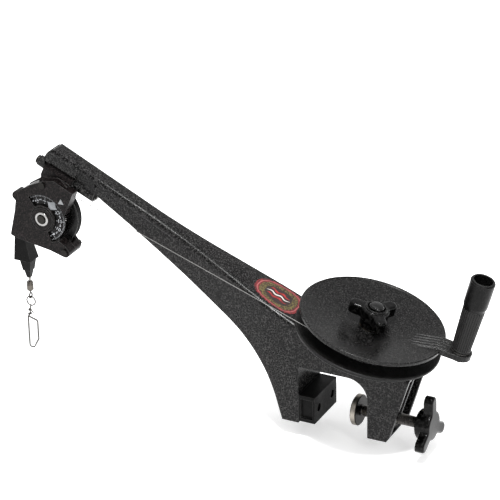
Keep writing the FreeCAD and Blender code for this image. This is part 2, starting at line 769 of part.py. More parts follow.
def make_reel():
    shaft = new_body("reel_shaft", REEL)
    shaft_top = 7.5
    turned(shaft, "Revolution", rod_profile(s.shaft_radius, -58, shaft_top))
    slab(shaft, "Pad", "XY", [hexagon(19)], -58, -51.5)
    flat_x = s.shaft_radius - s.shaft_flat
    slab(shaft, "Pocket", "XY", [[(flat_x, -9), (flat_x + 9, -9), (flat_x + 9, 9), (flat_x, 9)]], -10.98, 40)
    nut = new_body("shaft_nut", REEL)
    slab(nut, "Pad", "XY", [hexagon(18), Circle(0, 0, s.shaft_radius)], -32.9, -26.6)
    brake_top = -s.spool_bottom - 0.1
    turned_piece("brake_disc", REEL, ring_profile(s.shaft_radius + 1, s.boss_radius - 1,
                                                  -s.spool_bottom - 2, brake_top))

    spool = new_body("spool", REEL)
    floor_top = -s.spool_bottom + s.spool_floor
    drum_in = s.drum_radius - s.drum_wall
    spool_rim = s.rim_radius + s.spool_rim_overhang
    turned(spool, "Revolution", [(s.bush_radius, -s.spool_bottom), (spool_rim - 1, -s.spool_bottom),
                                 (spool_rim, -s.spool_bottom + 1), (spool_rim, floor_top - 1),
                                 (spool_rim - 1, floor_top), (s.drum_radius, floor_top),
                                 (s.drum_radius, -s.drum_top), (drum_in, -s.drum_top), (drum_in, floor_top),
                                 (s.hub_radius, floor_top), (s.hub_radius, -s.hub_top), (s.bush_radius, -s.hub_top)])
    boss = slab(spool, "Pad", "XY", [Circle(s.flange_screw_circle, 0, 5)], floor_top - 1, -s.hub_top)
    pattern(spool, [boss], 4)
    hole = slab(spool, "Pocket", "XY", [Circle(s.flange_screw_circle, 0, s.flange_screw_radius)], -30, 0)
    sink = slab(spool, "Pocket", "XY", [Circle(s.flange_screw_circle, 0, s.flange_screw_radius + 2.1)],
                -s.spool_bottom - 3, -s.spool_bottom + 2.8)
    pattern(spool, [hole, sink], 4)

    make_crank_flange()

    screws = new_body("flange_screws", REEL)
    shank = slab(screws, "Pad", "XY", [Circle(s.flange_screw_circle, 0, s.flange_screw_radius)],
                 -s.spool_bottom + 2, -s.hub_top + 3)
    head = slab(screws, "Pad", "XY", [Circle(s.flange_screw_circle, 0, s.flange_screw_radius + 2)],
                -s.spool_bottom + 0.3, -s.spool_bottom + 2.8)
    pattern(screws, [shank, head], 4)
    bush_in = s.shaft_radius + s.shaft_play
    bush_top = -s.hub_top + s.bush_flange
    turned_piece("hub_bush", REEL, [(bush_in, -s.spool_bottom), (s.bush_radius, -s.spool_bottom),
                                    (s.bush_radius, -s.hub_top), (s.bush_flange_radius, -s.hub_top),
                                    (s.bush_flange_radius, bush_top), (bush_in, bush_top)])
    washer = new_body("thrust_washer", REEL)
    washer_low = bush_top + 0.05
    slab(washer, "Pad", "XY", [Circle(0, 0, s.washer_radius)], washer_low, -s.washer_top)
    inner = s.shaft_radius + s.shaft_play
    flat = inner - s.shaft_flat
    bore_half = 3.72
    bore = [(flat, -bore_half), (flat, bore_half), Arc(inner, 1), (0, inner), Arc(inner, 1),
            (-inner, 0), Arc(inner, 1), (0, -inner), Arc(inner, 1)]
    slab(washer, "Pocket", "XY", [bore], -30, 0)

    make_clutch_knob()
    make_grip()
    make_cable()


def make_crank_flange():
    item = new_body("crank_flange", REEL)
    plate_top = -s.hub_top + s.flange_plate
    drum_in = s.drum_radius - s.drum_wall - 0.1
    turned(item, "Revolution", [(s.flange_bore, -s.hub_top), (drum_in, -s.hub_top), (drum_in, -s.drum_top),
                                (s.drum_radius + 0.5, -s.drum_top), (s.rim_radius - 6, -s.rim_lip),
                                (s.rim_radius - 1, -s.rim_lip), (s.rim_radius, -s.rim_lip + 1),
                                (s.rim_radius, -0.8), (s.rim_radius - 0.8, 0), (s.rim_radius - 2.2, 0),
                                (s.rim_radius - 3.2, -1.2), (s.dish_radius, plate_top), (s.flange_bore, plate_top)])
    lug_low = -s.crank_lug_drop
    # The crank arm is a strap across the dish, which ends in a round lug past the rim
    turn = -s.crank_angle
    strap_low = -s.drum_top + 1.5
    strap = [(s.arm_start, strap_low), (s.rim_radius - 7, -s.rim_lip + 0.5), (s.rim_radius - 7, lug_low),
             (s.crank_reach, lug_low), (s.crank_reach, 0), (s.crank_reach - s.crank_lug_radius + 1, 0),
             (s.rim_radius - 4, 0.4), (s.arm_start, -6.9)]
    arm = slab(item, "Pad", "XZ", [strap], -s.arm_half_width, s.arm_half_width)
    turn_about_z(arm.Profile[0], turn)
    lug_u = s.crank_reach
    slab(item, "Pad", "XY", [Circle(lug_u * wave("cos", s.crank_angle), lug_u * wave("sin", s.crank_angle),
                                    s.crank_lug_radius)], lug_low, 0)
    for step in (-2, -1, 0, 1, 2):
        offset = step * (s.arm_half_width - 1) / 2.2
        ridge = [(s.arm_start - 2, -8), (s.crank_reach - 12, -1), (s.crank_reach - 12, s.arm_rib),
                 (s.rim_radius - 4, s.arm_rib + 0.4), (s.arm_start - 2, -7.2)]
        rib = slab(item, "Pad", "XZ", [ridge], offset - 0.8, offset + 0.8)
        turn_about_z(rib.Profile[0], turn)
    hole = Circle(lug_u * wave("cos", s.crank_angle), lug_u * wave("sin", s.crank_angle), s.grip_bolt_radius)
    slab(item, "Pocket", "XY", [hole], -20, 20)
    blind = slab(item, "Pocket", "XY", [Circle(s.flange_screw_circle, 0, s.flange_screw_radius)], -20, -s.hub_top + 3)
    pattern(item, [blind], 4)


def turn_about_z(drawing, angle):
    """Turn a side sketch and its pad about the reel's axis."""
    middle = drawing.AttachmentOffset.Base.z
    drawing.AttachmentOffset = Placement(Vector(0, 0, middle), Rotation(Vector(0, 1, 0), -angle.value))
    formula = dict(drawing.ExpressionEngine).get("AttachmentOffset.Base.z", None) or \
        dict(drawing.ExpressionEngine).get(".AttachmentOffset.Base.z", "%.6f" % middle)
    away = Size(middle, "(%s)" % formula)
    drawing.setExpression("AttachmentOffset.Base.x", (away * wave("sin", -angle)).formula)
    drawing.setExpression("AttachmentOffset.Base.z", (away * wave("cos", angle)).formula)
    drawing.setExpression("AttachmentOffset.Rotation.Angle", (-angle).formula)


def make_clutch_knob():
    knob = new_body("clutch_knob", REEL)
    low = -s.washer_top + 0.1
    star_top = s.clutch_star_bottom + s.clutch_star_thickness
    insert_r = s.insert_radius
    insert_top = 6
    recess = s.cap_radius + 2
    profile = [(insert_r, low), (s.clutch_hub_radius, low), (s.clutch_hub_radius, s.clutch_star_bottom),
               (s.clutch_hub_radius + 1.5, s.clutch_star_bottom), (s.clutch_hub_radius + 1.5, star_top),
               (recess + 2.6, star_top), (recess + 1.6, star_top + 1.8), (recess + 0.3, star_top + 1.8),
               (recess, star_top + 1.4), (recess, insert_top + 2), (s.shaft_radius + 0.4, insert_top + 2),
               (s.shaft_radius + 0.4, insert_top), (insert_r, insert_top)]
    # The hub's seam lies in a lobe
    turned(knob, "Revolution", [(-as_size(radius), height) for radius, height in profile])
    outline = lobe_outline(s.clutch_lobe_reach, s.lobe_half_width)
    # The arm starts outside the hole for the insert
    start = s.clutch_hub_radius - 1
    outline[0] = (start, -s.lobe_half_width)
    outline[-1] = (start, s.lobe_half_width)
    lobe = slab(knob, "Pad", "XY", [outline], s.clutch_star_bottom, star_top, turn=-68)
    pattern(knob, [lobe], 3)
    lobe_rounding(knob, s.clutch_hub_radius + 1.5, "z", star_top)
    turned_piece("clutch_insert", REEL, ring_profile(s.shaft_radius + s.shaft_play, insert_r, low, insert_top))
    cap_low = insert_top + 2
    # The dome's centre lies on the axis
    edge = s.cap_radius - 1.2
    dome = (edge * edge + 0.9 * 0.9) / 1.8
    turned_piece("clutch_cap", REEL, [(0, cap_low), (recess, cap_low), (recess, cap_low + 3.5),
                                      (s.cap_radius, cap_low + 4), (s.cap_radius, s.cap_top - 2.2),
                                      (edge, s.cap_top - 0.9), Arc(dome, 1), (0, s.cap_top)])


def make_grip():
    base = s.grip_gap
    top = base + s.grip_length
    seat_in = s.grip_bolt_radius + 0.06
    bore_low = top - s.grip_bore_depth
    grip = new_body("grip", CRANK)
    waist = base + s.grip_length * 0.62
    turned(grip, "Revolution", [(seat_in, base), (s.grip_base_radius - 1, base), (s.grip_base_radius, base + 1),
                                (s.grip_base_radius + 1.9, waist), (s.grip_top_radius - 0.3, waist + 3),
                                (s.grip_top_radius, top - 1.5), (s.grip_top_radius - 1.2, top), (s.grip_bore, top),
                                (s.grip_bore - 0.6, bore_low), (seat_in, bore_low)])
    flutes = 28
    flute = [(s.grip_base_radius - 0.55, base + 3), (s.grip_base_radius + 4, base + 3),
             (s.grip_base_radius + 6, waist - 1), (s.grip_base_radius + 1.9 - 0.6, waist - 1)]
    cut = slab(grip, "Pocket", "XZ", [flute], -0.65, 0.65)
    pattern(grip, [cut], flutes)
    bolt = new_body("grip_bolt", CRANK)
    turned(bolt, "Revolution", [(0, -s.crank_lug_drop - 5.5), (s.grip_bolt_radius, -s.crank_lug_drop - 5.5),
                                (s.grip_bolt_radius, bore_low + 0.15), (s.grip_bolt_radius + 3.5, bore_low + 0.15),
                                (s.grip_bolt_radius + 3.5, bore_low + 3.5), (s.grip_bolt_radius + 2, bore_low + 5),
                                (0, bore_low + 5)])
    turned_piece("grip_washer", CRANK, ring_profile(s.grip_bolt_radius, s.grip_base_radius - 0.6, 0, base - 0.15))
    nut = new_body("grip_nut", CRANK)
    slab(nut, "Pad", "XY", [hexagon(12), Circle(0, 0, s.grip_bolt_radius)],
         -s.crank_lug_drop - 4.5, -s.crank_lug_drop)


# Cable

def tube_along(start, end, radius):
    """A straight round tube between two points."""
    along = end - start
    return Part.makeCylinder(radius, along.Length, start, along)


def tube_about(start, tangent, centre, angle, radius):
    """A round tube turned about a centre, from a start with its direction there, by an angle in degrees."""
    face = Part.Face(Part.Wire([Part.Circle(start, tangent, radius).toShape()]))
    return face.revolve(centre, (start - centre).cross(tangent), angle)


def joined(links):
    """One solid of tubes that follow each other."""
    return links[0].multiFuse(links[1:]).removeSplitter()


def wire_section(place, tangent, side, radius):
    """The end face of a wire as a polygon of twelve sides, one corner towards the given side."""
    sides = 12
    third = tangent.cross(side).normalize()
    corners = []
    for step in range(sides + 1):
        angle = 2 * math.pi * (step % sides) / sides
        corners.append(place + (side * math.cos(angle) + third * math.sin(angle)) * radius)
    return Part.Face(Part.makePolygon(corners))


def flat_rod(start, end, side, radius):
    along = end - start
    return wire_section(start, Vector(along).normalize(), side, radius).extrude(along)


def flat_ring(centre, normal, outward, radius, wire):
    """A closed ring of wire across its normal, begun on the outward side."""
    section = wire_section(centre + outward * radius, normal.cross(outward), normal, wire)
    return section.revolve(centre, normal, 360)


def bent_wire(points, side, bend, radius):
    """A wire in the plane across side, through points, with a round bend at each corner."""
    links = []
    start = points[0]
    for before, corner, after in zip(points, points[1:], points[2:]):
        coming = (corner - before).normalize()
        going = (after - corner).normalize()
        turn = coming.getAngle(going)
        reach = bend * math.tan(turn / 2)
        first = corner - coming * reach
        centre = corner + (going - coming).normalize() * (bend / math.cos(turn / 2))
        links.append(flat_rod(start, first, side, radius))
        section = wire_section(first, coming, side, radius)
        links.append(section.revolve(centre, (first - centre).cross(coming), math.degrees(turn)))
        start = corner + going * reach
    links.append(flat_rod(start, points[-1], side, radius))
    return links


def reel_point(u, v, height):
    tilt = math.radians(s.deck_tilt.value)
    return Vector(s.reel_x.value + u * math.cos(tilt) + height * math.sin(tilt), v,
                  reel_z.value - u * math.sin(tilt) + height * math.cos(tilt))


def winding_shape():
    """The drum's outer layer, one tube on arcs of a quarter turn that meet along one direction."""
    ring = s.winding_core_radius.value + s.cable_radius.value + 0.2
    wire = s.cable_radius.value
    pitch = s.winding_pitch.value
    low = -s.spool_bottom.value + s.spool_floor.value + wire + 0.1
    steps = int(s.winding_turns.value * 4)

    def radial(step):
        return Vector(math.cos(math.pi / 2 * step), math.sin(math.pi / 2 * step), 0)

    links = []
    length = 0
    for step in range(steps):
        start = radial(step) * ring + Vector(0, 0, low + pitch * step / 4)
        end = radial(step + 1) * ring + Vector(0, 0, low + pitch * (step + 1) / 4)
        chord = (end - start).normalize()
        outward = radial(step + 0.5)
        half_bend = math.atan2(chord.dot(radial(step + 1)), outward.dot(radial(step + 1)))
        bend = (end - start).Length / 2 / math.sin(half_bend)
        centre = (start + end) * 0.5 - outward * (bend * math.cos(half_bend))
        tangent = chord * math.cos(half_bend) + outward * math.sin(half_bend)
        links.append(tube_about(start, tangent, centre, math.degrees(2 * half_bend), wire))
        length += bend * 2 * half_bend
    winding = joined(links)
    print("winding: least gap to itself %.3f mm, volume ratio %.4f"
          % (pitch - 2 * wire, winding.Volume / (length * math.pi * wire ** 2)))
    return winding


def make_cable():
    floor_top = -s.spool_bottom + s.spool_floor
    turned_piece("cable_core", REEL, ring_profile(s.drum_radius, s.winding_core_radius, floor_top, -s.drum_top - 0.1))
    plain_solid("cable_winding", winding_shape(), REEL)

    # The taut run leaves the drum on the near side and meets the wheel's groove from above
    wire = s.cable_radius.value
    ring = s.winding_core_radius.value + 3 * wire + 0.4
    line_radius = s.groove_radius.value + wire + 0.05
    run_angle = math.radians(s.deck_tilt.value)
    centre = Vector(s.head_x.value, 0, s.head_z.value)
    up = Vector(math.sin(run_angle), 0, math.cos(run_angle))
    down_run = Vector(math.cos(run_angle), 0, -math.sin(run_angle))
    touch = centre + up * line_radius
    corner = touch + down_run * 8
    away = corner - reel_point(0, 0, -s.run_height.value)
    lead = math.asin(ring / abs(away.dot(down_run)))
    tangent = reel_point(-ring * math.sin(lead), -ring * math.cos(lead), -s.run_height.value)
    along = (corner - tangent).normalize()
    split_x = -319.0
    share = (split_x - tangent.x) / (corner.x - tangent.x)
    split = tangent + (corner - tangent) * share
    plain_solid("cable_run", tube_along(tangent, split, wire))

    # Over the wheel and straight down to the sleeve
    turn = along.getAngle(-down_run)
    reach = 5.0
    bend = reach / math.tan(turn / 2)
    first = corner - along * reach
    last = corner - down_run * reach
    middle = corner + (-down_run - along).normalize() * (bend / math.cos(turn / 2))
    left = centre + Vector(-line_radius, 0, 0)
    bottom = Vector(left.x, 0, s.drop_end_z.value)
    links = [tube_along(split + along * 0.3, first, wire),
             tube_about(first, along, middle, math.degrees(turn), wire),
             tube_along(last, touch, wire),
             tube_about(touch, -down_run, centre, 90 + s.deck_tilt.value, wire),
             tube_along(left, bottom, wire)]
    plain_solid("cable_head", joined(links))
    print("head cable: radii %.1f and %.1f mm" % (bend, line_radius))


# Pulley head

def case_outline():
    return [
        (6.5, 47), (-13.4, 38.6), (-25, 31.5), (-29.5, 28), Arc(6, 1), (-37.0, 20.2), (-33.4, 16.4), (-35.3, 4.2),
        (-42.8, -26.7), (-36.4, -29.2), (-13, -33.5), (7.7, -36.9), (25.5, -42.1), Arc(6, 1), (33.0, -34.6),
        (28, -28.5), (20, -24), (27, 4), (30.4, 11.6), (41, 37), (17.75, 48.6),
    ]


def head_point(along, above):
    """A point in the head's own side view from its place along and above the swivel pin."""
    x, z = pin_point(along, above)
    return (x - s.head_x, z - s.head_z)


def make_case():
    item = new_body("front_housing", HEAD)
    front = -s.case_front
    back = -s.case_back
    slab(item, "Pad", "XZ", [case_outline()], front, back)
    # The neck widens from the pin down to the case, clear of the wheel's rim
    neck_low = s.wheel_radius + 2
    neck = [(-s.neck_radius, 62), (-s.neck_radius, 47), (front, 38), (front, 33), (back, 33), (back, neck_low),
            (s.plate_front, neck_low), (s.plate_front, 44.5), (s.neck_radius, 50.5), (s.neck_radius, 62)]
    slab(item, "Pad", "YZ", [neck], -4.5, 31.5)
    # Above the pin only the round hub is left, so that the head can swing under the boom
    pin_local = (s.pin_x - s.head_x, s.pin_z - s.head_z)
    over = [head_point(-40, -12), head_point(-s.neck_left, -12), head_point(-s.neck_left, -0.4),
            head_point(40, -0.4), head_point(40, 30), head_point(-40, 30)]
    slab(item, "Pocket", "XZ", [over], front - 1, s.neck_radius + 1)
    clearance = rod_profile(s.right_lug_radius + 0.7, s.neck_right, s.right_lug_out)
    turned(item, "Groove", clearance, "X", pin_local, s.pin_tilt)
    turned(item, "Revolution", rod_profile(s.neck_radius, -s.neck_left, s.neck_right), "X", pin_local, s.pin_tilt)
    # Inside and window
    inside = front + s.case_plate
    slab(item, "Pocket", "XZ", [Circle(0, 0, s.case_bore)], inside, back + 5)
    window_out = s.dial_radius + 1
    window_in = 16
    first, last = math.radians(-68), math.radians(125)

    def polar(radius, angle):
        return (radius * math.cos(angle), radius * math.sin(angle))

    inner = as_size(window_in)
    window = [polar(window_out, first), Arc(window_out, 1), polar(window_out, 0), Arc(window_out, 1),
              polar(window_out, last), polar(inner, last), Arc(inner, -1), polar(inner, 0), Arc(inner, -1),
              polar(inner, first)]
    slab(item, "Pocket", "XZ", [window], front - 3, inside + 1)
    ring = [Circle(0, 0, 14.6), Circle(0, 0, 13)]
    slab(item, "Pocket", "XZ", ring, front - 1, front + 0.8)
    slab(item, "Pocket", "XZ", [Circle(0, 0, s.axle_radius)], front - 5, back)
    turned(item, "Groove", rod_profile(s.pin_radius + s.pin_play, -40, 60), "X", pin_local, s.pin_tilt)
    slab(item, "Pocket", "XZ", [Circle(x, z, s.case_bolt_radius) for x, z in BOLT_PLACES], -40, 40)

    plate = new_body("rear_plate", HEAD)
    # On the right the plate stays within the wheel's outline
    edge = s.wheel_radius - 6.5
    outline = [(8, 43.5), (-3, 43.5), (-13.4, 38.6), (-29, 29), (-34.5, 10), (-39, -24), (-34, -27.5), (-13, -33.5),
               (7.7, -36.9), (25.5, -41), Arc(4.8, 1), (31.8, -34.8), polar(edge, math.radians(-45)), Arc(edge, 1),
               polar(edge, 0), Arc(edge, 1), polar(edge, math.radians(32)), (12, 37)]
    slab(plate, "Pad", "XZ", [outline], s.plate_front, s.plate_back)
    slab(plate, "Pad", "XZ", [Circle(BOLT_PLACES[0][0], BOLT_PLACES[0][1], 6)], back, s.plate_front + 1)
    slab(plate, "Pocket", "XZ", [Circle(x, z, s.case_bolt_radius) for x, z in BOLT_PLACES]
         + [Circle(0, 0, s.axle_radius)], -20, 40)

    bolts = new_body("case_bolts", HEAD)
    nuts = new_body("case_nuts", HEAD)
    for x, z in BOLT_PLACES:
        slab(bolts, "Pad", "XZ", [Circle(x, z, s.case_bolt_radius)], front - 0.5, s.plate_back + 4)
    for x, z in BOLT_PLACES:
        slab(bolts, "Pad", "XZ", [Circle(x, z, s.case_bolt_radius + 1.8)], front - 2, front)
    corners = [hexagon(7, x, z) for x, z in BOLT_PLACES]
    holes = [Circle(x, z, s.case_bolt_radius) for x, z in BOLT_PLACES]
    slab(nuts, "Pad", "XZ", corners + holes, s.plate_back, s.plate_back + 3)


BOLT_PLACES = ((27.2, -36.3), (2.5, 41))


def make_wheel():
    half = s.wheel_half
    web = half - 2
    rim = s.wheel_radius
    groove = s.groove_radius
    bore = s.axle_radius + 0.06
    hub = s.wheel_hub_radius
    turned_piece("pulley_wheel", HEAD, [
        (bore, -9.4), (hub, -9.4), (hub, -web), (groove - 5.5, -web), (groove - 3.5, -half), (rim - 0.5, -half),
        (rim, -half + 0.6), (rim, -half + 1.2), (groove, -0.7), (groove, 0.7), (rim, half - 1.2),
        (rim, half - 0.6), (rim - 0.5, half), (groove - 3.5, half), (groove - 5.5, web), (hub, web),
        (hub, half + 0.2), (bore, half + 0.2)],
        "Y")
    axle = new_body("axle", HEAD)
    front = -s.case_front
    turned(axle, "Revolution", rod_profile(s.axle_radius, front, s.plate_back + 4.5), "Y")
    slab(axle, "Pad", "XZ", [hexagon(9)], front - 2.6, front)
    flat_x = s.axle_radius - s.axle_flat
    slab(axle, "Pocket", "XZ", [[(flat_x, -6), (flat_x + 6, -6), (flat_x + 6, 6), (flat_x, 6)]], -12.3, -9.6)
    nut = new_body("axle_nut", HEAD)
    slab(nut, "Pad", "XZ", [hexagon(13), Circle(0, 0, s.axle_radius)], s.plate_back, s.plate_back + 4)
    turned_piece("axle_ring", HEAD, [(s.ring_inner, front - 1.6), (s.ring_outer - 0.5, front - 1.6),
                                     (s.ring_outer, front - 1.1), (s.ring_outer, front), (s.ring_inner, front)], "Y")


def gear_face(teeth, root, tip, share, centre_x=0.0, phase=0.0):
    """A straight-toothed outline in the XZ plane. share is the tooth's part of the pitch at its root."""
    points = []
    for tooth in range(teeth):
        middle = phase + 2 * math.pi * tooth / teeth
        root_half = math.pi / teeth * share
        tip_half = root_half * 0.45
        for radius, angle in ((root, middle - root_half), (tip, middle - tip_half),
                              (tip, middle + tip_half), (root, middle + root_half)):
            points.append(Vector(centre_x + radius * math.cos(angle), 0, radius * math.sin(angle)))
    points.append(points[0])
    return Part.Face(Part.makePolygon(points))


def make_gears():
    module = s.gear_module.value
    fixed = int(s.fixed_teeth.value)
    dial = int(s.dial_teeth.value)
    small = int(s.pinion_teeth.value)
    pitch_radius = module * fixed / 2
    small_radius = module * small / 2
    centre = pitch_radius + small_radius
    along = Vector(0, 1, 0)
    axle = s.axle_radius.value
    # A tooth of each wheel lies at 0 degrees and meets a gap of the pinion there
    bore = Part.makeCylinder(axle, 6, Vector(0, -14, 0), along)
    key = Part.makeBox(axle, 6, 2 * axle, Vector(axle - s.axle_flat.value, -14, -axle))
    fixed_gear = gear_face(fixed, pitch_radius - 0.75, pitch_radius + 0.5, 0.55).extrude(along * 2.4)
    fixed_gear.translate(along * -12.2)
    plain_solid("fixed_gear", fixed_gear.cut(bore.cut(key)), HEAD)
    dial_gear = gear_face(dial, pitch_radius - 0.75, pitch_radius + 0.5, 0.55).extrude(along * 2.4)
    dial_gear.translate(along * -14.9)
    face = Part.makeCylinder(s.dial_radius.value, 1.5, Vector(0, -16.4, 0), along)
    bored = Part.makeCylinder(axle + 0.06, 8, Vector(0, -18, 0), along)
    plain_solid("dial", face.fuse(dial_gear).cut(bored).removeSplitter(), HEAD)
    # The pinion has a gap towards the axle, where each gear has a tooth
    phase = math.pi + math.pi / small
    pinion = gear_face(small, small_radius - 0.85, small_radius + 0.5, 0.5, centre, phase).extrude(along * 5.0)
    pinion.translate(along * -14.7)
    hole = Part.makeCylinder(1.26, 8, Vector(centre, -16, 0), along)
    plain_solid("pinion", pinion.cut(hole), HEAD)
    pin = new_body("pinion_pin", HEAD)
    slab(pin, "Pad", "XZ", [Circle((s.fixed_teeth + s.pinion_teeth) * s.gear_module / 2, 0, 1.2)],
         -14.8, -s.wheel_half + 2)


def make_pin():
    item = new_body("swivel_pin", PIN)
    turned(item, "Revolution", [(0, -s.left_lug_out - 3), (s.pin_radius + 1.5, -s.left_lug_out - 3),
                                (s.pin_radius + 2, -s.left_lug_out - 2.5), (s.pin_radius + 2, -s.left_lug_out),
                                (s.pin_radius, -s.left_lug_out), (s.pin_radius, s.right_lug_out + 2.5),
                                (0, s.right_lug_out + 2.5)], "X")
    turned_piece("pin_ring", PIN, ring_profile(s.pin_radius, s.pin_radius + 2.2,
                                               s.right_lug_out, s.right_lug_out + 1.2), "X")


# Terminal tackle

EYE_RADIUS = 3.0


def loft_between(low, high):
    """A straight loft between two rectangles given as (x0, x1, y0, y1, z)."""
    wires = []
    for x0, x1, y0, y1, z in (low, high):
        corners = [Vector(x0, y0, z), Vector(x1, y0, z), Vector(x1, y1, z), Vector(x0, y1, z), Vector(x0, y0, z)]
        wires.append(Part.makePolygon(corners))
    return Part.makeLoft(wires, True, True)


def make_tackle():
    drop_x = s.head_x.value - s.groove_radius.value - s.cable_radius.value - 0.05
    wire = s.cable_radius.value
    channel_play = 0.15
    channel = Part.makeCylinder(wire + channel_play, s.head_z.value, Vector(drop_x, 0, 0))
    base = drop_x
    skirt = loft_between((base - 13.5, base + 8.5, -9, 9, 49.0), (base - 12.1, base - 0.5, -6.4, 6.4, 82.2))
    notch = loft_between((base - 6, base + 6, -6, 6, 48.0), (base - 3, base + 3, -3, 3, 56.0))
    plain_solid("bumper_skirt", skirt.cut(notch).cut(channel))
    body = loft_between((base - 5.2, base + 4.6, -5, 5, 35.5), (base - 7.6, base + 6.6, -6.6, 6.6, 48.9))
    eye = Part.makeCylinder(1.3, 30, Vector(base - 4.6, -15, 42), Vector(0, 1, 0))
    plain_solid("bumper_body", body.cut(eye).cut(channel))
    tip = loft_between((base - 2.2, base + 2.2, -2.2, 2.2, 26.0), (base - 4.2, base + 3.8, -4, 4, 35.4))
    plain_solid("bumper_tip", tip.cut(channel))
    sleeve_low = s.barrel_top_z.value + 1.0
    sleeve = Part.makeCylinder(1.5, 25.9 - sleeve_low, Vector(drop_x, 0, sleeve_low))
    hole = Part.makeCylinder(wire, 10, Vector(drop_x, 0, s.drop_end_z.value))
    plain_solid("crimp_sleeve", sleeve.cut(hole))

    top = s.barrel_top_z.value
    low = s.barrel_bottom_z.value
    stem = s.snap_wire.value
    upper = Part.makeCylinder(stem, 1.0 + 2.5, Vector(drop_x, 0, top - 2.5))
    collar = Part.makeCylinder(stem + 0.9, 0.9, Vector(drop_x, 0, top - 2.5))
    plain_solid("swivel_stem", upper.fuse(collar).removeSplitter())
    radius = s.barrel_radius.value
    profile = [(0, low), (radius * 0.6, low), (radius, low + 1.8), (radius, top - 4.6), (radius * 0.78, top - 4.0),
               (radius * 0.78, top - 3.2), (radius, top - 2.4), (radius * 0.8, top - 0.3), (0, top - 0.3), (0, low)]
    outline = Part.makePolygon([Vector(x, 0, z) for x, z in profile])
    barrel = Part.Face(outline).revolve(Vector(0, 0, 0), Vector(0, 0, 1), 360)
    socket = Part.makeCylinder(stem + 0.05, 3, Vector(0, 0, top - 2.6))
    pocket = Part.makeCylinder(stem + 1.0, 1.2, Vector(0, 0, top - 2.65))
    barrel = barrel.cut(socket).cut(pocket)
    barrel.translate(Vector(drop_x, 0, 0))
    plain_solid("swivel_barrel", barrel)
    eye_z = low - 6.2
    neck = Part.makeCylinder(stem * 0.8, 3.6, Vector(drop_x, 0, low - 3.6))
    loop = flat_ring(Vector(drop_x, 0, eye_z), Vector(1, 0, 0), Vector(0, 0, 1), EYE_RADIUS, stem)
    plain_solid("swivel_eye", neck.fuse(loop).removeSplitter())

    make_snap(drop_x, eye_z)


def make_snap(drop_x, eye_z):
    """A safety snap bent from one wire: ring, twisted neck and long gate loop."""
    wire = 0.8
    # The ring hangs on the eye's lowest wire, at a right angle to it
    ring_radius = 5.6
    ring_z = eye_z - EYE_RADIUS + s.snap_wire.value + wire + 0.05 - ring_radius
    neck_x = drop_x - 2.2
    long_side = drop_x - 5.2
    short_side = drop_x + 7.2
    bottom = -64
    points = [Vector(drop_x - 0.6, 0, ring_z - ring_radius), Vector(neck_x, 0, -15), Vector(neck_x, 0, -21.5),
              Vector(long_side, 0, -25.5), Vector(long_side, 0, bottom), Vector(long_side + 6, 0, bottom),
              Vector(short_side, 0, bottom + 12), Vector(short_side, 0, -28.5), Vector(long_side + 0.4, 0, -25)]
    across = Vector(0, 1, 0)
    links = bent_wire(points, across, 2.4, wire)
    for place, lean in ((-16.2, 0.15), (-21.2, -0.3)):
        links.append(flat_ring(Vector(neck_x, 0, place), Vector(lean, 0, 1).normalize(), across, 1.4, wire))
    tails = ((Vector(neck_x + 1, -1, -15.8), Vector(neck_x + 5.4, -1, -18.6)),
             (Vector(neck_x - 2.6, -1, -21.9), Vector(neck_x + 3.2, -1, -19.8)))
    for start, end in tails:
        links.append(flat_rod(start, end, across, wire * 0.8))
    shape = flat_ring(Vector(drop_x, 0, ring_z), across, Vector(0, 0, 1), ring_radius, wire)
    shape = shape.multiFuse(links)
    plain_solid("safety_snap", shape.removeSplitter())


make_frame()
make_jaw()
make_clamp()
make_reel()
make_pin()
make_case()
make_wheel()
make_gears()
make_tackle()


# Every object is checked before anything is written

document.recompute()
faults = []
for item in document.Objects:
    if "Invalid" in item.State or "Error" in item.State:
        faults.append("%s: %s" % (item.Name, item.State))
for item in pieces:
    shape = item.Shape
    if shape.isNull() or not shape.isValid() or not shape.Solids:
        faults.append("%s: shape" % item.Label)
if faults:
    raise RuntimeError("; ".join(faults))

os.makedirs("parts", exist_ok=True)
for item in pieces:
    item.Shape.exportStep("parts/%s.step" % item.Label)
print("%d pieces written" % len(pieces))
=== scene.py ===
import bpy
import bmesh
import math
import numpy as np
from mathutils import Matrix, Vector


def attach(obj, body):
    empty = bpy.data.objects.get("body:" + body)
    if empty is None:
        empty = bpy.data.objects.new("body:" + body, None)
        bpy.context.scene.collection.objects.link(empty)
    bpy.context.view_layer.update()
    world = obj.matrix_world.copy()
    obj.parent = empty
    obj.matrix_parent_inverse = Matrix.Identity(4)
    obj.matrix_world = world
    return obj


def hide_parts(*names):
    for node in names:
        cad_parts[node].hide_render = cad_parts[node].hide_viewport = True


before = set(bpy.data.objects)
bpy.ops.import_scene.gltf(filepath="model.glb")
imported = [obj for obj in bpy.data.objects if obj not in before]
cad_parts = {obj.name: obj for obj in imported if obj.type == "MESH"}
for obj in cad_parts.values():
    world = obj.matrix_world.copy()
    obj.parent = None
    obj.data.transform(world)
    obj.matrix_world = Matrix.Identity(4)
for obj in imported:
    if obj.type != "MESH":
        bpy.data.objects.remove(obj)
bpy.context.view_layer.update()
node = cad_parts

# Camera. The machine is seen from the right of its near side and from a little above, through a long lens,
# so that the boom runs away to the upper left and the crank stands at the right.
AZIMUTH, ELEVATION, ROLL = math.radians(27.08), math.radians(24.93), math.radians(-1.15)
PICTURE_PX = 500
FOCAL_PX = 2357.04
SENSOR_MM = 36
DISTANCE = 2.5
REEL_CENTRE_PX = (373.27, 318.81)
REEL_CENTRE = np.array([0.0351, 0.0, 0.0613])


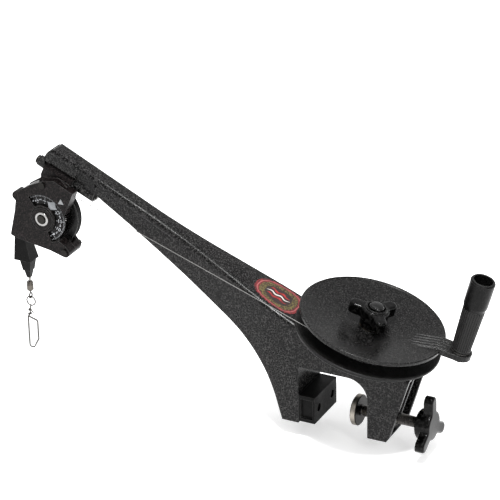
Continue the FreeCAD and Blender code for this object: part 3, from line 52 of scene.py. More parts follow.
def camera_axes(azimuth, elevation, roll):
    """Right, up and back of a camera that looks along +Y at azimuth 0, turned by roll about its own line."""
    back = np.array([math.sin(azimuth) * math.cos(elevation),
                     -math.cos(azimuth) * math.cos(elevation), math.sin(elevation)])
    level = np.array([math.cos(azimuth), math.sin(azimuth), 0.0])
    above = np.cross(back, level)
    return (level * math.cos(roll) + above * math.sin(roll),
            above * math.cos(roll) - level * math.sin(roll), back)


right, above, back = camera_axes(AZIMUTH, ELEVATION, ROLL)
to_the_right = (REEL_CENTRE_PX[0] - PICTURE_PX / 2) / FOCAL_PX * DISTANCE
higher = (PICTURE_PX / 2 - REEL_CENTRE_PX[1]) / FOCAL_PX * DISTANCE
stand = REEL_CENTRE - to_the_right * right - higher * above + DISTANCE * back
camera = bpy.data.objects.new("camera", bpy.data.cameras.new("camera"))
camera.data.sensor_width = SENSOR_MM
camera.data.lens = FOCAL_PX / PICTURE_PX * SENSOR_MM
camera.data.clip_start, camera.data.clip_end = 0.05, 30
camera.matrix_world = Matrix([(right[k], above[k], back[k], stand[k]) for k in range(3)] + [(0, 0, 0, 1)])
bpy.context.scene.collection.objects.link(camera)
bpy.context.scene.camera = camera

# Downrigger cable: 0.8 mm stainless wire rope of seven strands, wound on the drum, drawn tight up to the
# pulley and over it down to a crimped sleeve. It is one rope, in three pieces as it crosses three bodies.
ROPE = 0.0004
LAY = 0.0062
OUTER_STRANDS = 6
VALLEY, BULGE, BULGE_ROUNDNESS = 0.93, 0.07, 0.7
ACROSS_ANY_RUN = (0.3, 0.1, 1.0)


def mesh_object(name, points, faces, material, smooth=True):
    """A mesh object at the origin from an array of points and a list or array of faces."""
    mesh = bpy.data.meshes.new(name)
    corners = np.asarray(points, float).reshape(-1, 3).tolist()
    mesh.from_pydata(corners, [], [tuple(int(i) for i in face) for face in faces])
    mesh.validate()
    mesh.polygons.foreach_set("use_smooth", [smooth] * len(mesh.polygons))
    mesh.materials.append(material)
    piece = bpy.data.objects.new(name, mesh)
    bpy.context.scene.collection.objects.link(piece)
    return piece


def strip_faces(rows, columns):
    """Quads between neighbouring points of a grid of rows by columns, whose last column meets its first."""
    down, across = np.meshgrid(np.arange(rows - 1), np.arange(columns), indexing="ij")
    below, beside = down + 1, (across + 1) % columns
    quads = np.stack([down * columns + across, down * columns + beside,
                      below * columns + beside, below * columns + across], -1)
    return [tuple(quad) for quad in quads.reshape(-1, 4)]


def closed_tube(name, grid, material):
    """A skin over a grid of points, rows by columns by 3, with a fan of triangles over each of its two ends."""
    rows, columns = grid.shape[:2]
    points = np.vstack([grid.reshape(-1, 3), grid[0].mean(0), grid[-1].mean(0)])
    faces = strip_faces(rows, columns)
    start, end, last = rows * columns, rows * columns + 1, (rows - 1) * columns
    for k in range(columns):
        faces.append((start, (k + 1) % columns, k))
        faces.append((end, last + k, last + (k + 1) % columns))
    return mesh_object(name, points, faces, material)


def spline_line(name, route):
    """The line of a NURBS spline of order 3 through its ends, with the route's points as its control points."""
    curve = bpy.data.curves.new(name + "_route", "CURVE")
    curve.dimensions = "3D"
    curve.resolution_u = 8
    spline = curve.splines.new("NURBS")
    spline.points.add(len(route) - 1)
    weighted = np.hstack([np.asarray(route, float), np.ones((len(route), 1))])
    spline.points.foreach_set("co", weighted.ravel())
    spline.order_u = 3
    spline.use_endpoint_u = True
    holder = bpy.data.objects.new(name + "_route", curve)
    bpy.context.scene.collection.objects.link(holder)
    line = bpy.data.meshes.new_from_object(holder)
    points = np.array([v.co[:] for v in line.vertices])
    bpy.data.objects.remove(holder)
    bpy.data.meshes.remove(line)
    return points


def evenly(points, step):
    """The same line with points a step apart, and how far along it each lies."""
    runs = np.linalg.norm(np.diff(points, axis=0), axis=1)
    lengths = np.concatenate([[0], np.cumsum(runs)])
    wanted = np.linspace(0, lengths[-1], max(int(round(lengths[-1] / step)) + 1, 4))
    return np.stack([np.interp(wanted, lengths, points[:, k]) for k in range(3)], -1), wanted


def carried_axes(points):
    """Two unit vectors square to the line at each point. The first is carried along it without turning."""
    along = np.gradient(points, axis=0)
    along /= np.linalg.norm(along, axis=1, keepdims=True)
    first = np.cross(along[0], ACROSS_ANY_RUN)
    first /= np.linalg.norm(first)
    firsts = [first]
    for direction in along[1:]:
        first = first - direction * (first @ direction)
        first /= np.linalg.norm(first)
        firsts.append(first)
    firsts = np.array(firsts)
    return firsts, np.cross(along, firsts)


def rope(name, route, radius, material, step, around):
    """A tube with one low bulge per strand, which turn once in each lay along the line. Its radius is the
    valley's share, and the bulge's share times the rounded cosine of three times the angle to the lay's turn."""
    points, lengths = evenly(spline_line(name, route), step)
    first, second = carried_axes(points)
    angle = np.linspace(0, 2 * math.pi, around, endpoint=False)[None, :]
    turn = 2 * math.pi * lengths[:, None] / LAY
    bulge = np.abs(np.cos(OUTER_STRANDS / 2 * (angle - turn))) ** BULGE_ROUNDNESS
    reach = radius * (VALLEY + BULGE * bulge)
    outline = (first[:, None, :] * (np.cos(angle) * reach)[..., None]
               + second[:, None, :] * (np.sin(angle) * reach)[..., None])
    return closed_tube(name, points[:, None, :] + outline, material), points


def shader(name, **values):
    """A material whose Principled sockets hold these values, its nodes, and the place on the piece."""
    material = bpy.data.materials.new(name)
    material.use_nodes = True
    nodes, links = material.node_tree.nodes, material.node_tree.links
    body = nodes["Principled BSDF"]
    for socket, value in values.items():
        body.inputs[socket.replace("_", " ")].default_value = value
    where = nodes.new("ShaderNodeTexCoord").outputs["Object"]
    return material, nodes, links, body, where


def noise(nodes, links, where, scale, detail=4.0, rough=0.6, stretch=None):
    """Noise of that many grains per metre, drawn out by stretch in X, Y and Z."""
    texture = nodes.new("ShaderNodeTexNoise")
    texture.inputs["Scale"].default_value = scale
    texture.inputs["Detail"].default_value = detail
    texture.inputs["Roughness"].default_value = rough
    if stretch:
        mapping = nodes.new("ShaderNodeMapping")
        mapping.inputs["Scale"].default_value = stretch
        links.new(where, mapping.inputs["Vector"])
        where = mapping.outputs["Vector"]
    links.new(where, texture.inputs["Vector"])
    return texture.outputs["Fac"]


def between(nodes, links, source, low, high, start=0.35, end=0.65):
    """A value that goes from low to high as the source goes from start to end."""
    ramp = nodes.new("ShaderNodeMapRange")
    ramp.inputs["From Min"].default_value = start
    ramp.inputs["From Max"].default_value = end
    ramp.inputs["To Min"].default_value = low
    ramp.inputs["To Max"].default_value = high
    links.new(source, ramp.inputs["Value"])
    return ramp.outputs["Result"]


def shades(nodes, links, source, *stops):
    """A colour that passes through the stops (place, colour) as the source goes from 0 to 1."""
    ramp = nodes.new("ShaderNodeValToRGB")
    for element, (place, colour) in zip(ramp.color_ramp.elements, stops):
        element.position = place
        element.color = (*colour, 1)
    links.new(source, ramp.inputs["Fac"])
    return ramp.outputs["Color"]


def bumped(nodes, links, body, height, depth, distance, rounding=0.0):
    """Lifts the surface by the height. Where rounding is a radius in metres, edges are rounded for the light."""
    bump = nodes.new("ShaderNodeBump")
    bump.inputs["Strength"].default_value = depth
    bump.inputs["Distance"].default_value = distance
    links.new(height, bump.inputs["Height"])
    if rounding:
        edge = nodes.new("ShaderNodeBevel")
        edge.samples = 6
        edge.inputs["Radius"].default_value = rounding
        links.new(edge.outputs["Normal"], bump.inputs["Normal"])
    links.new(bump.outputs["Normal"], body.inputs["Normal"])


SCRATCHES, SCRATCH_STRENGTH, SCRATCH_DEPTH = 2600, 0.25, 0.00012


def filmed(nodes, links, where, grain, colour):
    """A bare metal's colour, dulled in patches by a thin film to 0.72 of itself."""
    film = noise(nodes, links, where, grain, 5)
    return shades(nodes, links, film, (0.3, tuple(c * 0.72 for c in colour)), (0.62, colour))


def scratched(nodes, links, body, where, smooth, rough, stretch, rounding):
    """Fine scratches along the way a metal was drawn or turned. The roughness goes from smooth to rough."""
    scratches = noise(nodes, links, where, SCRATCHES, 3, 0.7, stretch)
    links.new(between(nodes, links, scratches, smooth, rough), body.inputs["Roughness"])
    bumped(nodes, links, body, scratches, SCRATCH_STRENGTH, SCRATCH_DEPTH, rounding)


def drawn_steel(name, colour, rough, stretch=(1, 1, 1), wear=260, rounding=0.0003):
    """Bare metal with a film in patches, wear of them to the metre, and scratches drawn out by stretch."""
    material, nodes, links, body, where = shader(name, Metallic=1.0)
    links.new(filmed(nodes, links, where, wear, colour), body.inputs["Base Color"])
    scratched(nodes, links, body, where, rough * 0.7, rough * 1.35, stretch, rounding)
    return material


wire_steel = drawn_steel("wire_steel", (0.24, 0.236, 0.23), rough=0.3, wear=900, rounding=0)
POINTS_ROUND = 18
WOUND_STEP, FREE_STEP = 0.0011, 0.0007

# Wound part of the cable: five turns lie on the drum, which turns on the tilted shaft. The route is a helix
# about the reel's axis, 12 points to a turn, set out a little because the spline cuts inside them.
REEL_TILT = math.radians(15.44)
reel_side = np.array([math.cos(REEL_TILT), 0, -math.sin(REEL_TILT)])
reel_up = np.array([math.sin(REEL_TILT), 0, math.cos(REEL_TILT)])
reel_near = np.array([0.0, 1.0, 0.0])
TURNS, PITCH, FIRST_TURN = 5, 0.002, -0.0195
POINTS_A_TURN = 12
WOUND_RADIUS, SPLINE_SHARE = 0.057, 0.966
phase = np.linspace(0, 2 * math.pi * TURNS, TURNS * POINTS_A_TURN + 1)[:, None]
round_drum = (WOUND_RADIUS / SPLINE_SHARE) * (np.cos(phase) * reel_side + np.sin(phase) * reel_near)
wound_route = REEL_CENTRE + round_drum + (FIRST_TURN + PITCH * phase / (2 * math.pi)) * reel_up
winding, winding_line = rope("wound_cable", wound_route, ROPE, wire_steel, WOUND_STEP, POINTS_ROUND)
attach(winding, "reel")
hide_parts("cable_winding")

# Free parts of the cable: a straight run goes from the drum to the head, and the rest goes over the wheel
# and straight down to the crimped sleeve. The run stays with the frame, the rest swings with the head.
run_route = [(0.02377, -0.05734, 0.05302), (-0.1476, -0.03053, 0.09514), (-0.319, -0.00372, 0.13726)]
run, run_line = rope("running_cable", run_route, ROPE, wire_steel, FREE_STEP, POINTS_ROUND)
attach(run, "frame")
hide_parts("cable_run")

head_route = [(-0.3193, -0.00367, 0.13733), (-0.34275, 0, 0.14309), (-0.36082, 0, 0.14809),
              (-0.38108, 0, 0.14084), (-0.39345, 0, 0.12326), (-0.39345, 0, 0.1017), (-0.39345, 0, 0.0235)]
hanging, hanging_line = rope("hanging_cable", head_route, ROPE, wire_steel, FREE_STEP, POINTS_ROUND)
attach(hanging, "head")
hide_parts("cable_head")

# Floor and light. A matt white floor lies just under the lowest turn of the clamp knob. A broad soft light
# hangs over the machine, a small bright one draws the boom's edge, and a strip stands at its right.
FLOOR_Z = -0.0872
FLOOR_HALF = 6


def floor_finish():
    """Matt white paint, a little uneven. It glows a little, so that shadows on it stay pale."""
    material, nodes, links, body, where = shader("floor_paint", Roughness=0.9, Emission_Color=(1, 1, 1, 1),
                                                 Emission_Strength=0.35)
    uneven = noise(nodes, links, where, 6, 3)
    links.new(shades(nodes, links, uneven, (0.3, (0.86, 0.86, 0.86)), (0.7, (0.9, 0.9, 0.9))),
              body.inputs["Base Color"])
    return material


corner_sides = ((-1, -1), (1, -1), (1, 1), (-1, 1))
floor_corners = [(FLOOR_HALF * x, FLOOR_HALF * y, FLOOR_Z) for x, y in corner_sides]
floor = mesh_object("floor", floor_corners, [(0, 1, 2, 3)], floor_finish(), False)


def soft_light(name, place, aim, width, height, power):
    """A rectangular light at a place, turned to face a point."""
    lamp = bpy.data.lights.new(name, "AREA")
    lamp.shape = "RECTANGLE"
    lamp.size, lamp.size_y = width, height
    lamp.energy = power
    holder = bpy.data.objects.new(name, lamp)
    holder.location = place
    holder.rotation_euler = (Vector(aim) - Vector(place)).to_track_quat("-Z", "Y").to_euler()
    bpy.context.scene.collection.objects.link(holder)


soft_light("sky", (-0.1, 0.35, 2.3), (-0.1, 0.3, 0), width=3.0, height=2.6, power=20)
soft_light("key", (0.3, -0.6, 1.7), (-0.15, 0, 0.1), width=0.22, height=0.22, power=58)
soft_light("side", (1.2, -0.9, 0.9), (0.05, 0, 0.05), width=0.25, height=0.8, power=7)
surroundings = bpy.data.worlds.new("surroundings")
surroundings.use_nodes = True
surroundings.node_tree.nodes["Background"].inputs["Color"].default_value = (1, 1, 1, 1)
surroundings.node_tree.nodes["Background"].inputs["Strength"].default_value = 0.85
bpy.context.scene.world = surroundings
bpy.context.scene.view_settings.view_transform = "Standard"

# Body moulding: boom, throat and legs are one hollow moulding of glass-filled nylon. It is black with a fine
# grained skin and a pale painted highlight along its edges. The jaw, its screws and the brass insert are set
# into it.
JOIN_WITHIN = 2e-6
SHARP_FROM = math.radians(32)
# Painted highlight: this pale grey is mixed into the colour along sharp edges, within the reach below.
PAINTED_EDGE_HIGHLIGHT = (0.12, 0.12, 0.118, 1)
EDGE_HIGHLIGHT_REACH = 0.0006
GRAIN_PIT, GRAIN_TOP = 0.1, (7.2, 7, 6.9)
GRAIN_HEIGHT = 0.0004


def smoothed(name):
    """Joins the loose triangles of a solid, and keeps edges sharp where they turn by over 32 degrees."""
    piece = node[name]
    piece.data.polygons.foreach_set("use_smooth", [True] * len(piece.data.polygons))
    weld = piece.modifiers.new("joined", "WELD")
    weld.merge_threshold = JOIN_WITHIN
    split = piece.modifiers.new("edges", "EDGE_SPLIT")
    split.split_angle = SHARP_FROM
    return piece


def dress(material, *names):
    """Gives solids of the machine their finish."""
    for name in names:
        piece = smoothed(name)
        piece.data.materials.clear()
        piece.data.materials.append(material)


def over(nodes, links, body, share, colour, paint):
    """Colours the body by a colour, and by the plain paint over it as far as the share goes from 0 to 1."""
    mix = nodes.new("ShaderNodeMix")
    mix.data_type = "RGBA"
    links.new(share, mix.inputs["Factor"])
    links.new(colour, mix.inputs["A"])
    mix.inputs["B"].default_value = paint
    links.new(mix.outputs["Result"], body.inputs["Base Color"])


def rubbed_edges(nodes, links, body, colour, reach, amount):
    """Paints a pale highlight over a colour along sharp edges, where a rounding of that reach turns the normal
    off the face.
    """
    edge = nodes.new("ShaderNodeBevel")
    edge.samples = 6
    edge.inputs["Radius"].default_value = reach
    face = nodes.new("ShaderNodeNewGeometry")
    along = nodes.new("ShaderNodeVectorMath")
    along.operation = "DOT_PRODUCT"
    links.new(edge.outputs["Normal"], along.inputs[0])
    links.new(face.outputs["Normal"], along.inputs[1])
    edge_highlight_share = between(nodes, links, along.outputs["Value"], amount, 0.0, 0.8, 0.985)
    over(nodes, links, body, edge_highlight_share, colour, PAINTED_EDGE_HIGHLIGHT)


def grained_black(name, shade, gloss, grain, depth, rounding, warmth=1.0, shine=0.22, edge_highlight=0.5):
    """Black moulding with a raised grain. Its gloss changes in slow patches, and the grain's tops are paler."""
    material, nodes, links, body, where = shader(name, Specular_IOR_Level=shine)
    patches = noise(nodes, links, where, 35, 4)
    pebbles = noise(nodes, links, where, grain, 3, 0.65)
    dark = (shade * GRAIN_PIT * warmth, shade * GRAIN_PIT, shade * GRAIN_PIT)
    pale = (shade * GRAIN_TOP[0] * warmth, shade * GRAIN_TOP[1], shade * GRAIN_TOP[2])
    skin = shades(nodes, links, pebbles, (0.49, dark), (0.66, pale))
    # Painted highlight along the sharp edges.
    rubbed_edges(nodes, links, body, skin, EDGE_HIGHLIGHT_REACH, edge_highlight)
    links.new(between(nodes, links, patches, gloss * 0.8, gloss * 1.3), body.inputs["Roughness"])
    bumped(nodes, links, body, pebbles, depth, GRAIN_HEIGHT, rounding)
    return material


body_black = grained_black("body_black", shade=0.0052, gloss=0.22, grain=620, depth=0.24, rounding=0.0024,
                           shine=0.12)
jaw_black = grained_black("jaw_black", shade=0.0008, gloss=0.45, grain=1300, depth=0.25, rounding=0.0009,
                          shine=0.07)
screw_steel = drawn_steel("screw_steel", (0.02, 0.019, 0.018), rough=0.42, wear=700)
brass = drawn_steel("brass", (0.60, 0.44, 0.20), rough=0.34, wear=500)
dress(body_black, "frame")
dress(jaw_black, "jaw_block")
dress(screw_steel, "jaw_screws")
dress(brass, "clamp_insert")

# Clamp: a rolled screw carries a turned steel disc on its end and a three-lobed knob of glossy nylon outside.
# The disc's face and edge are bare and slightly yellow, with the marks of the lathe.


def threaded_finish(name, colour, rough, pitch):
    """Blackened steel with the ridges of a rolled thread, one to each pitch along X."""
    material, nodes, links, body, where = shader(name, Metallic=1.0, Roughness=rough)
    film = noise(nodes, links, where, 500, 4)
    links.new(shades(nodes, links, film, (0.3, tuple(c * 0.6 for c in colour)), (0.65, colour)),
              body.inputs["Base Color"])
    ridges = nodes.new("ShaderNodeTexWave")
    ridges.bands_direction = "X"
    ridges.inputs["Scale"].default_value = 2 * math.pi / (20 * pitch)
    ridges.inputs["Distortion"].default_value = 0.0
    links.new(where, ridges.inputs["Vector"])
    bumped(nodes, links, body, ridges.outputs["Fac"], 1.0, 0.0016)
    return material


def disc_finish(name, bare, dark_back, from_x):
    """Turned steel, bare on its face and edge. Behind from_x, on its back, it is dark."""
    material, nodes, links, body, where = shader(name, Metallic=1.0)
    film = filmed(nodes, links, where, 300, bare)
    apart = nodes.new("ShaderNodeSeparateXYZ")
    links.new(where, apart.inputs["Vector"])
    behind = between(nodes, links, apart.outputs["X"], 0.0, 1.0, from_x, from_x + 0.0004)
    # The back, behind from_x, is coloured dark.
    over(nodes, links, body, behind, film, (*dark_back, 1))
    scratched(nodes, links, body, where, 0.24, 0.46, (40, 1, 1), 0.0003)
    return material


threaded_steel = threaded_finish("threaded_steel", (0.2, 0.19, 0.18), rough=0.28, pitch=0.002)
disc_steel = disc_finish("disc_steel", (0.26, 0.24, 0.21), (0.012, 0.011, 0.01), from_x=0.0207)
knob_black = grained_black("knob_black", shade=0.001, gloss=0.16, grain=300, depth=0.06, rounding=0.0012,
                           shine=0.1)
dress(threaded_steel, "clamp_screw")
dress(disc_steel, "clamp_disc")
dress(screw_steel, "clamp_clip")
dress(knob_black, "clamp_knob")
dress(brass, "clamp_knob_pin")

# Reel: a spool and a dished crank flange of black moulding turn on a steel shaft. The clutch knob on top
# presses them down on a fibre brake disc, and a domed grey cap closes it. The core is the deeper wire.


def fibre_finish():
    """Pressed brake fibre, brown and matt, with short fibres."""
    material, nodes, links, body, where = shader("brake_fibre", Roughness=0.85)
    fibres = noise(nodes, links, where, 1400, 4, 0.7, (1, 4, 1))
    links.new(shades(nodes, links, fibres, (0.3, (0.06, 0.04, 0.03)), (0.7, (0.13, 0.09, 0.06))),
              body.inputs["Base Color"])
    bumped(nodes, links, body, fibres, 0.3, 0.0002)
    return material


flange_black = grained_black("flange_black", shade=0.0034, gloss=0.25, grain=700, depth=0.25, rounding=0.0012,
                             shine=0.14)
spool_black = grained_black("spool_black", shade=0.002, gloss=0.36, grain=900, depth=0.4, rounding=0.0009,
                            shine=0.12)
cap_grey = grained_black("cap_grey", shade=0.0015, gloss=0.12, grain=120, depth=0.0, rounding=0.0006,
                         shine=0.3)
shaft_steel = drawn_steel("shaft_steel", (0.3, 0.29, 0.28), rough=0.3, wear=400)
core_steel = drawn_steel("core_steel", (0.25, 0.25, 0.25), rough=0.42, stretch=(1, 1, 30), wear=900)
bronze = drawn_steel("bronze", (0.1, 0.075, 0.045), rough=0.4, wear=500)
dress(shaft_steel, "reel_shaft", "thrust_washer")
dress(screw_steel, "shaft_nut", "flange_screws")
dress(fibre_finish(), "brake_disc")
dress(spool_black, "spool")
dress(flange_black, "crank_flange")
dress(bronze, "hub_bush")
dress(core_steel, "cable_core")
dress(knob_black, "clutch_knob")
dress(brass, "clutch_insert")
dress(cap_grey, "clutch_cap")

# Grip: a hollow handle of matt black moulding with fine flutes, which turns on a shouldered bolt.
# Its mouth at the top is open, and the plain band below the mouth has no flutes.
CRANK_REACH, CRANK_ANGLE = 0.098, math.radians(10)
crank_way = math.cos(CRANK_ANGLE) * reel_side + math.sin(CRANK_ANGLE) * reel_near
GRIP_CENTRE = tuple(REEL_CENTRE + CRANK_REACH * crank_way)
FLUTES = 28
FLUTES_END, PLAIN_BAND = 0.0535, 0.0545
# Painted light: this pale colour goes on the ridges between the flutes, and the darker flutes are painted shade.
PAINTED_RIDGE_LIGHT = (0.011, 0.0107, 0.0107, 1)


def fluted_finish(name):
    """Matt black moulding, painted paler as light on the ridges between the flutes, where the cosine of the
    angle about the grip's own axis times the number of flutes is low, so that the darker flutes stand as painted
    shade.
    The flutes end below the plain band."""
    material = grained_black(name, shade=0.0014, gloss=0.3, grain=1100, depth=0.3, rounding=0.0003, shine=0.1)
    nodes, links = material.node_tree.nodes, material.node_tree.links
    body = nodes["Principled BSDF"]
    mapping = nodes.new("ShaderNodeMapping")
    mapping.vector_type = "TEXTURE"
    mapping.inputs["Location"].default_value = GRIP_CENTRE
    mapping.inputs["Rotation"].default_value = (0, REEL_TILT, 0)
    links.new(nodes["Texture Coordinate"].outputs["Object"], mapping.inputs["Vector"])
    round_axis = nodes.new("ShaderNodeTexGradient")
    round_axis.gradient_type = "RADIAL"
    links.new(mapping.outputs["Vector"], round_axis.inputs["Vector"])
    bands = nodes.new("ShaderNodeMath")
    bands.operation = "MULTIPLY"
    bands.inputs[1].default_value = 2 * math.pi * FLUTES
    links.new(round_axis.outputs["Fac"], bands.inputs[0])
    wave = nodes.new("ShaderNodeMath")
    wave.operation = "COSINE"
    links.new(bands.outputs["Value"], wave.inputs[0])
    apart = nodes.new("ShaderNodeSeparateXYZ")
    links.new(mapping.outputs["Vector"], apart.inputs["Vector"])
    ridge_light_share = nodes.new("ShaderNodeMath")
    ridge_light_share.operation = "MULTIPLY"
    links.new(between(nodes, links, apart.outputs["Z"], 1.0, 0.0, FLUTES_END, PLAIN_BAND), ridge_light_share.inputs[0])
    links.new(between(nodes, links, wave.outputs["Value"], 1.0, 0.0, -0.6, 0.5), ridge_light_share.inputs[1])
    skin = body.inputs["Base Color"].links[0].from_socket
    over(nodes, links, body, ridge_light_share.outputs["Value"], skin, PAINTED_RIDGE_LIGHT)
    return material


dress(fluted_finish("grip_black"), "grip")
dress(shaft_steel, "grip_bolt", "grip_washer")
dress(screw_steel, "grip_nut")

# Pulley head: a two-part housing of brown-black moulding swings on a pin at the boom's end. It holds the
# grooved wheel on its axle, and the nylon gears that drive the counter's dial.
housing_black = grained_black("housing_black", shade=0.0022, gloss=0.32, grain=800, depth=0.3, rounding=0.0014,
                              warmth=1.25, shine=0.09)
wheel_black = grained_black("wheel_black", shade=0.0016, gloss=0.25, grain=900, depth=0.1, rounding=0.0009,
                            shine=0.14)
dial_black = grained_black("dial_black", shade=0.001, gloss=0.35, grain=800, depth=0.08, rounding=0.0003,
                           shine=0.12)
gear_nylon = grained_black("gear_nylon", shade=0.3, gloss=0.45, grain=900, depth=0.08, rounding=0.0003)
pin_steel = drawn_steel("blackened_steel", (0.025, 0.024, 0.022), rough=0.38, wear=500)
chrome = drawn_steel("chrome", (0.3, 0.295, 0.29), rough=0.2, wear=1500, rounding=0.0009)
dress(pin_steel, "swivel_pin", "axle")
dress(housing_black, "front_housing", "rear_plate")
dress(screw_steel, "pin_ring", "case_bolts", "case_nuts", "axle_nut")
dress(wheel_black, "pulley_wheel")
dress(shaft_steel, "pinion_pin")
dress(gear_nylon, "fixed_gear", "pinion")
dress(dial_black, "dial")
dress(chrome, "axle_ring")

# Dial print: white ink on the dial and its housing. One turn of the dial is 61 turns of the wheel, which is
# 13 metres of cable, so it carries the metres, with a 5 at each half and a tick at every tenth.
HEAD_CENTRE = np.array([-0.3595, 0.0, 0.1125])
DIAL_FACE, HOUSING_FACE = -0.0164, -0.0195
METRES = 13
INK = 0.00006
ZERO = math.radians(54)
METRE_ROW, HALF_ROW = (0, 0.0213, 0.0042), (0.5, 0.0222, 0.0031)
FONT_SHARE = 1.42
DASH_OFF, DASH_OFF_TWO_FIGURES = 0.0027, 0.0036
DASH_HALF = (0.0006, 0.00025)
TICK_REACH = 0.0266
LONG_TICK_HALF, SHORT_TICK_HALF = (0.001, 0.00013), (0.0006, 0.00013)


def plate(edges, centre, across, up, lift):
    """A thin closed plate between two edges that run from left to right, in metres across and up."""
    flat = np.stack([np.asarray(edge, float) for edge in edges], 1)
    low = centre + flat[..., :1] * across + flat[..., 1:] * up
    high = low + lift * np.cross(across, up)
    ring = np.stack([low[:, 0], low[:, 1], high[:, 1], high[:, 0]], 1)
    rows = len(ring)
    ends = [(0, 1, 2, 3), tuple(range(4 * rows - 1, 4 * rows - 5, -1))]
    return ring.reshape(-1, 3), strip_faces(rows, 4) + ends


def plates_object(name, parts, material):
    """One mesh object of several closed plates, with points that meet joined and every face turned outwards."""
    points, faces, start = [], [], 0
    for part_points, part_faces in parts:
        points.append(part_points)
        faces += [tuple(start + i for i in face) for face in part_faces]
        start += len(part_points)
    piece = mesh_object(name, np.vstack(points), faces, material, False)
    shape = bmesh.new()
    shape.from_mesh(piece.data)
    bmesh.ops.remove_doubles(shape, verts=shape.verts, dist=1e-6)
    bmesh.ops.recalc_face_normals(shape, faces=shape.faces)
    shape.to_mesh(piece.data)
    shape.free()
    return piece


def bar(half_long, half_high):
    """Upper and lower edge of a straight bar about its middle."""
    return [[(-half_long, side * half_high), (half_long, side * half_high)] for side in (1, -1)]


def number_shape(value, height):
    """A number as a thin closed shape in its own plane, centred on its middle."""
    curve = bpy.data.curves.new("number", "FONT")
    curve.body = str(value)
    curve.size = height * FONT_SHARE
    curve.align_x, curve.align_y = "CENTER", "CENTER"
    curve.resolution_u = 2
    curve.extrude = INK / 2
    holder = bpy.data.objects.new("number", curve)
    bpy.context.scene.collection.objects.link(holder)
    shape = bpy.data.meshes.new_from_object(holder)
    points = np.array([v.co[:] for v in shape.vertices])
    faces = [tuple(p.vertices) for p in shape.polygons]
    bpy.data.objects.remove(holder)
    bpy.data.meshes.remove(shape)
    return points, faces


def dial_place(angle, reach, face):
    """The point on a face of the head at an angle and a distance from the wheel's axis. Its outward direction
    is the angle's cosine along X and sine along Z, and its upward one is that turned by a right angle."""
    outward = np.array([math.cos(angle), 0, math.sin(angle)])
    up = np.array([-math.sin(angle), 0, math.cos(angle)])
    return HEAD_CENTRE + reach * outward + np.array([0, face, 0]), outward, up


def ink_finish(name, colour):
    """Printing ink, a little worn, so that it is thinner in small spots."""
    material, nodes, links, body, where = shader(name, Roughness=0.5, Specular_IOR_Level=0.3)
    spots = noise(nodes, links, where, 2200, 3)
    links.new(shades(nodes, links, spots, (0.3, tuple(c * 0.45 for c in colour)), (0.5, colour)),
              body.inputs["Base Color"])
    return material


print_parts = []
for metre in range(METRES):
    for half, reach, height in (METRE_ROW, HALF_ROW):
        if metre + half == 0:
            continue
        angle = ZERO + 2 * math.pi * (metre + half) / METRES
        centre, outward, up = dial_place(angle, reach, DIAL_FACE)
        points, faces = number_shape(5 if half else metre, height)
        lifted = (points[:, 2:] + INK / 2) * np.cross(outward, up)
        print_parts.append((centre + points[:, :1] * outward + points[:, 1:2] * up + lifted, faces))
        if not half:
            off = DASH_OFF_TWO_FIGURES if metre > 9 else DASH_OFF
            for side in (-1, 1):
                centre, outward, up = dial_place(angle, reach + side * off, DIAL_FACE)
                print_parts.append(plate(bar(*DASH_HALF), centre, outward, up, INK))
for tenth in range(METRES * 10):
    centre, outward, up = dial_place(ZERO + 2 * math.pi * tenth / METRES / 10, TICK_REACH, DIAL_FACE)
    tick = bar(*(SHORT_TICK_HALF if tenth % 5 else LONG_TICK_HALF))
    print_parts.append(plate(tick, centre, outward, up, INK))
white_ink = ink_finish("white_ink", (0.4, 0.41, 0.43))
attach(plates_object("dial_numbers", print_parts, white_ink), "dial")

# Zero mark and pointer: a grey diamond on the dial stands for zero, and a pale triangle on the housing points
# at it. Both are printed twice as thick as the figures.
ZERO_REACH, ZERO_HALF_LONG, ZERO_HALF_HIGH = 0.0205, 0.0066, 0.0062
POINTER_ANGLE, POINTER_REACH = math.radians(41), 0.034
centre, outward, up = dial_place(ZERO, ZERO_REACH, DIAL_FACE)
left_tip, right_tip = (-ZERO_HALF_LONG, 0), (ZERO_HALF_LONG, 0)
diamond = [[left_tip, (0, side * ZERO_HALF_HIGH), right_tip] for side in (1, -1)]
zero_mark = plates_object("zero_mark", [plate(diamond, centre, outward, up, 2 * INK)],
                          ink_finish("grey_ink", (0.2, 0.21, 0.22)))
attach(zero_mark, "dial")
centre, outward, up = dial_place(POINTER_ANGLE, POINTER_REACH, HOUSING_FACE)
pointer = [[(-0.0036, 0.0001), (0, 0.0062), (0.0036, 0.0001)], [(-0.0036, 0), (0, 0), (0.0036, 0)]]
level, upright = np.array([1.0, 0, 0]), np.array([0, 0, 1.0])
dial_pointer = plates_object("dial_pointer", [plate(pointer, centre, level, upright, 2 * INK)],
                             ink_finish("pointer_ink", (0.18, 0.185, 0.19)))
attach(dial_pointer, "head")

# Label: a printed oval sticker on the boom's top, in layers of ink. It carries a plain border with a thin line,
# a mottled ring and three waves.
LABEL_CENTRE = np.array([-0.077, 0.0, 0.066])
LABEL_ACROSS = np.array([0.8998, 0, -0.4363])
LABEL_UP = np.array([0.0, 1.0, 0.0])
LABEL_HALF_LONG, LABEL_HALF_WIDE, LABEL_FLARE = 0.0285, 0.0208, 0.0027
OVAL_POWER = 2.7
LAYER_STEP, LAYER_THICK = 0.00003, 0.00008


def label_oval(share, points=49):
    """Upper and lower edge of an oval that widens with the boom, as a share of the whole label. Its half
    width is the 2.7th root of 1 less the 2.7th power of the place along it."""
    along = -np.cos(np.linspace(0, math.pi, points))
    half = (1 - np.abs(along) ** OVAL_POWER) ** (1 / OVAL_POWER)
    wide = half * (LABEL_HALF_WIDE + LABEL_FLARE * along)
    upper = np.stack([along * LABEL_HALF_LONG * share, wide * share ** 0.9], 1)
    return upper, upper * (1, -1)


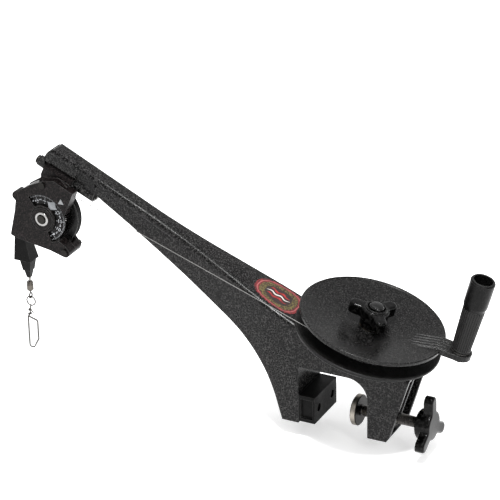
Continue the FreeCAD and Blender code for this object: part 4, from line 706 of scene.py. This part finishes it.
def label_wave(length, height, thick, turns, drop):
    """Upper and lower edge of a sine wave, as thick as 1 less the square of the place along it, to the 0.7."""
    along = np.linspace(-1, 1, 41)
    middle = height * np.sin(along * math.pi * turns) + drop
    half = thick / 2 * (1 - along ** 2) ** 0.7
    return [np.stack([along * length / 2, middle + side * half], 1) for side in (1, -1)]


def label_part(name, edges, level, material):
    """One printed layer of the label. Each lies a little above the one before."""
    base = LABEL_CENTRE + level * LAYER_STEP * np.cross(LABEL_ACROSS, LABEL_UP)
    layer = plate(edges, base, LABEL_ACROSS, LABEL_UP, LAYER_THICK)
    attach(plates_object(name, [layer], material), "frame")


def mottled_print(name, dark, pale, grain):
    """A printed patch of fine mottling in two colours."""
    material, nodes, links, body, where = shader(name, Roughness=0.3, Specular_IOR_Level=0.35)
    mottle = noise(nodes, links, where, grain, 2, 0.5)
    links.new(shades(nodes, links, mottle, (0.46, dark), (0.56, pale)), body.inputs["Base Color"])
    return material


border_print = mottled_print("border_print", (0.03, 0.002, 0.003), (0.12, 0.008, 0.01), 300)
inner_print = mottled_print("inner_print", (0.05, 0.004, 0.005), (0.12, 0.01, 0.012), 300)
ring_print = mottled_print("ring_print", (0.014, 0.005, 0.003), (0.09, 0.072, 0.022), 620)
middle_print = mottled_print("middle_print", (0.006, 0.004, 0.004), (0.02, 0.008, 0.007), 500)
red_print = mottled_print("red_print", (0.1, 0.005, 0.006), (0.24, 0.012, 0.012), 400)
label_part("label_border", label_oval(1.0), 0, border_print)
label_part("label_line", label_oval(0.9), 1, ink_finish("line_print", (0.25, 0.07, 0.07)))
label_part("label_line_inside", label_oval(0.86), 2, inner_print)
label_part("label_ring", label_oval(0.8), 3, ring_print)
label_part("label_middle", label_oval(0.56), 4, middle_print)
WAVE_HEIGHT, RED_THICK, WHITE_THICK, RED_DROP = 0.0012, 0.0034, 0.0022, 0.0052
label_part("label_wave_red", label_wave(0.026, WAVE_HEIGHT, RED_THICK, 2.0, -RED_DROP), 5, red_print)
label_part("label_wave_white", label_wave(0.03, WAVE_HEIGHT, WHITE_THICK, 2.5, 0.0), 6,
           ink_finish("wave_print", (0.42, 0.39, 0.37)))
label_part("label_wave_red_upper", label_wave(0.026, WAVE_HEIGHT, RED_THICK, 2.0, RED_DROP), 5, red_print)

# Line end: a rubber bumper of three tapered pieces keeps the crimped sleeve off the pulley, and a ball-bearing
# swivel carries the snap of bent wire.
rubber = grained_black("bumper_rubber", shade=0.0012, gloss=0.4, grain=1200, depth=0.2, rounding=0.0009,
                       shine=0.08)
sleeve_steel = drawn_steel("sleeve_steel", (0.2, 0.19, 0.18), rough=0.35)
bright_wire = drawn_steel("bright_wire", (0.055, 0.052, 0.048), rough=0.36, wear=350)
barrel_steel = drawn_steel("barrel_steel", (0.11, 0.1, 0.088), rough=0.34, stretch=(1, 1, 20), wear=500)
dress(rubber, "bumper_skirt", "bumper_body", "bumper_tip")
dress(sleeve_steel, "crimp_sleeve")
dress(bright_wire, "swivel_stem", "swivel_eye", "safety_snap")
dress(barrel_steel, "swivel_barrel")
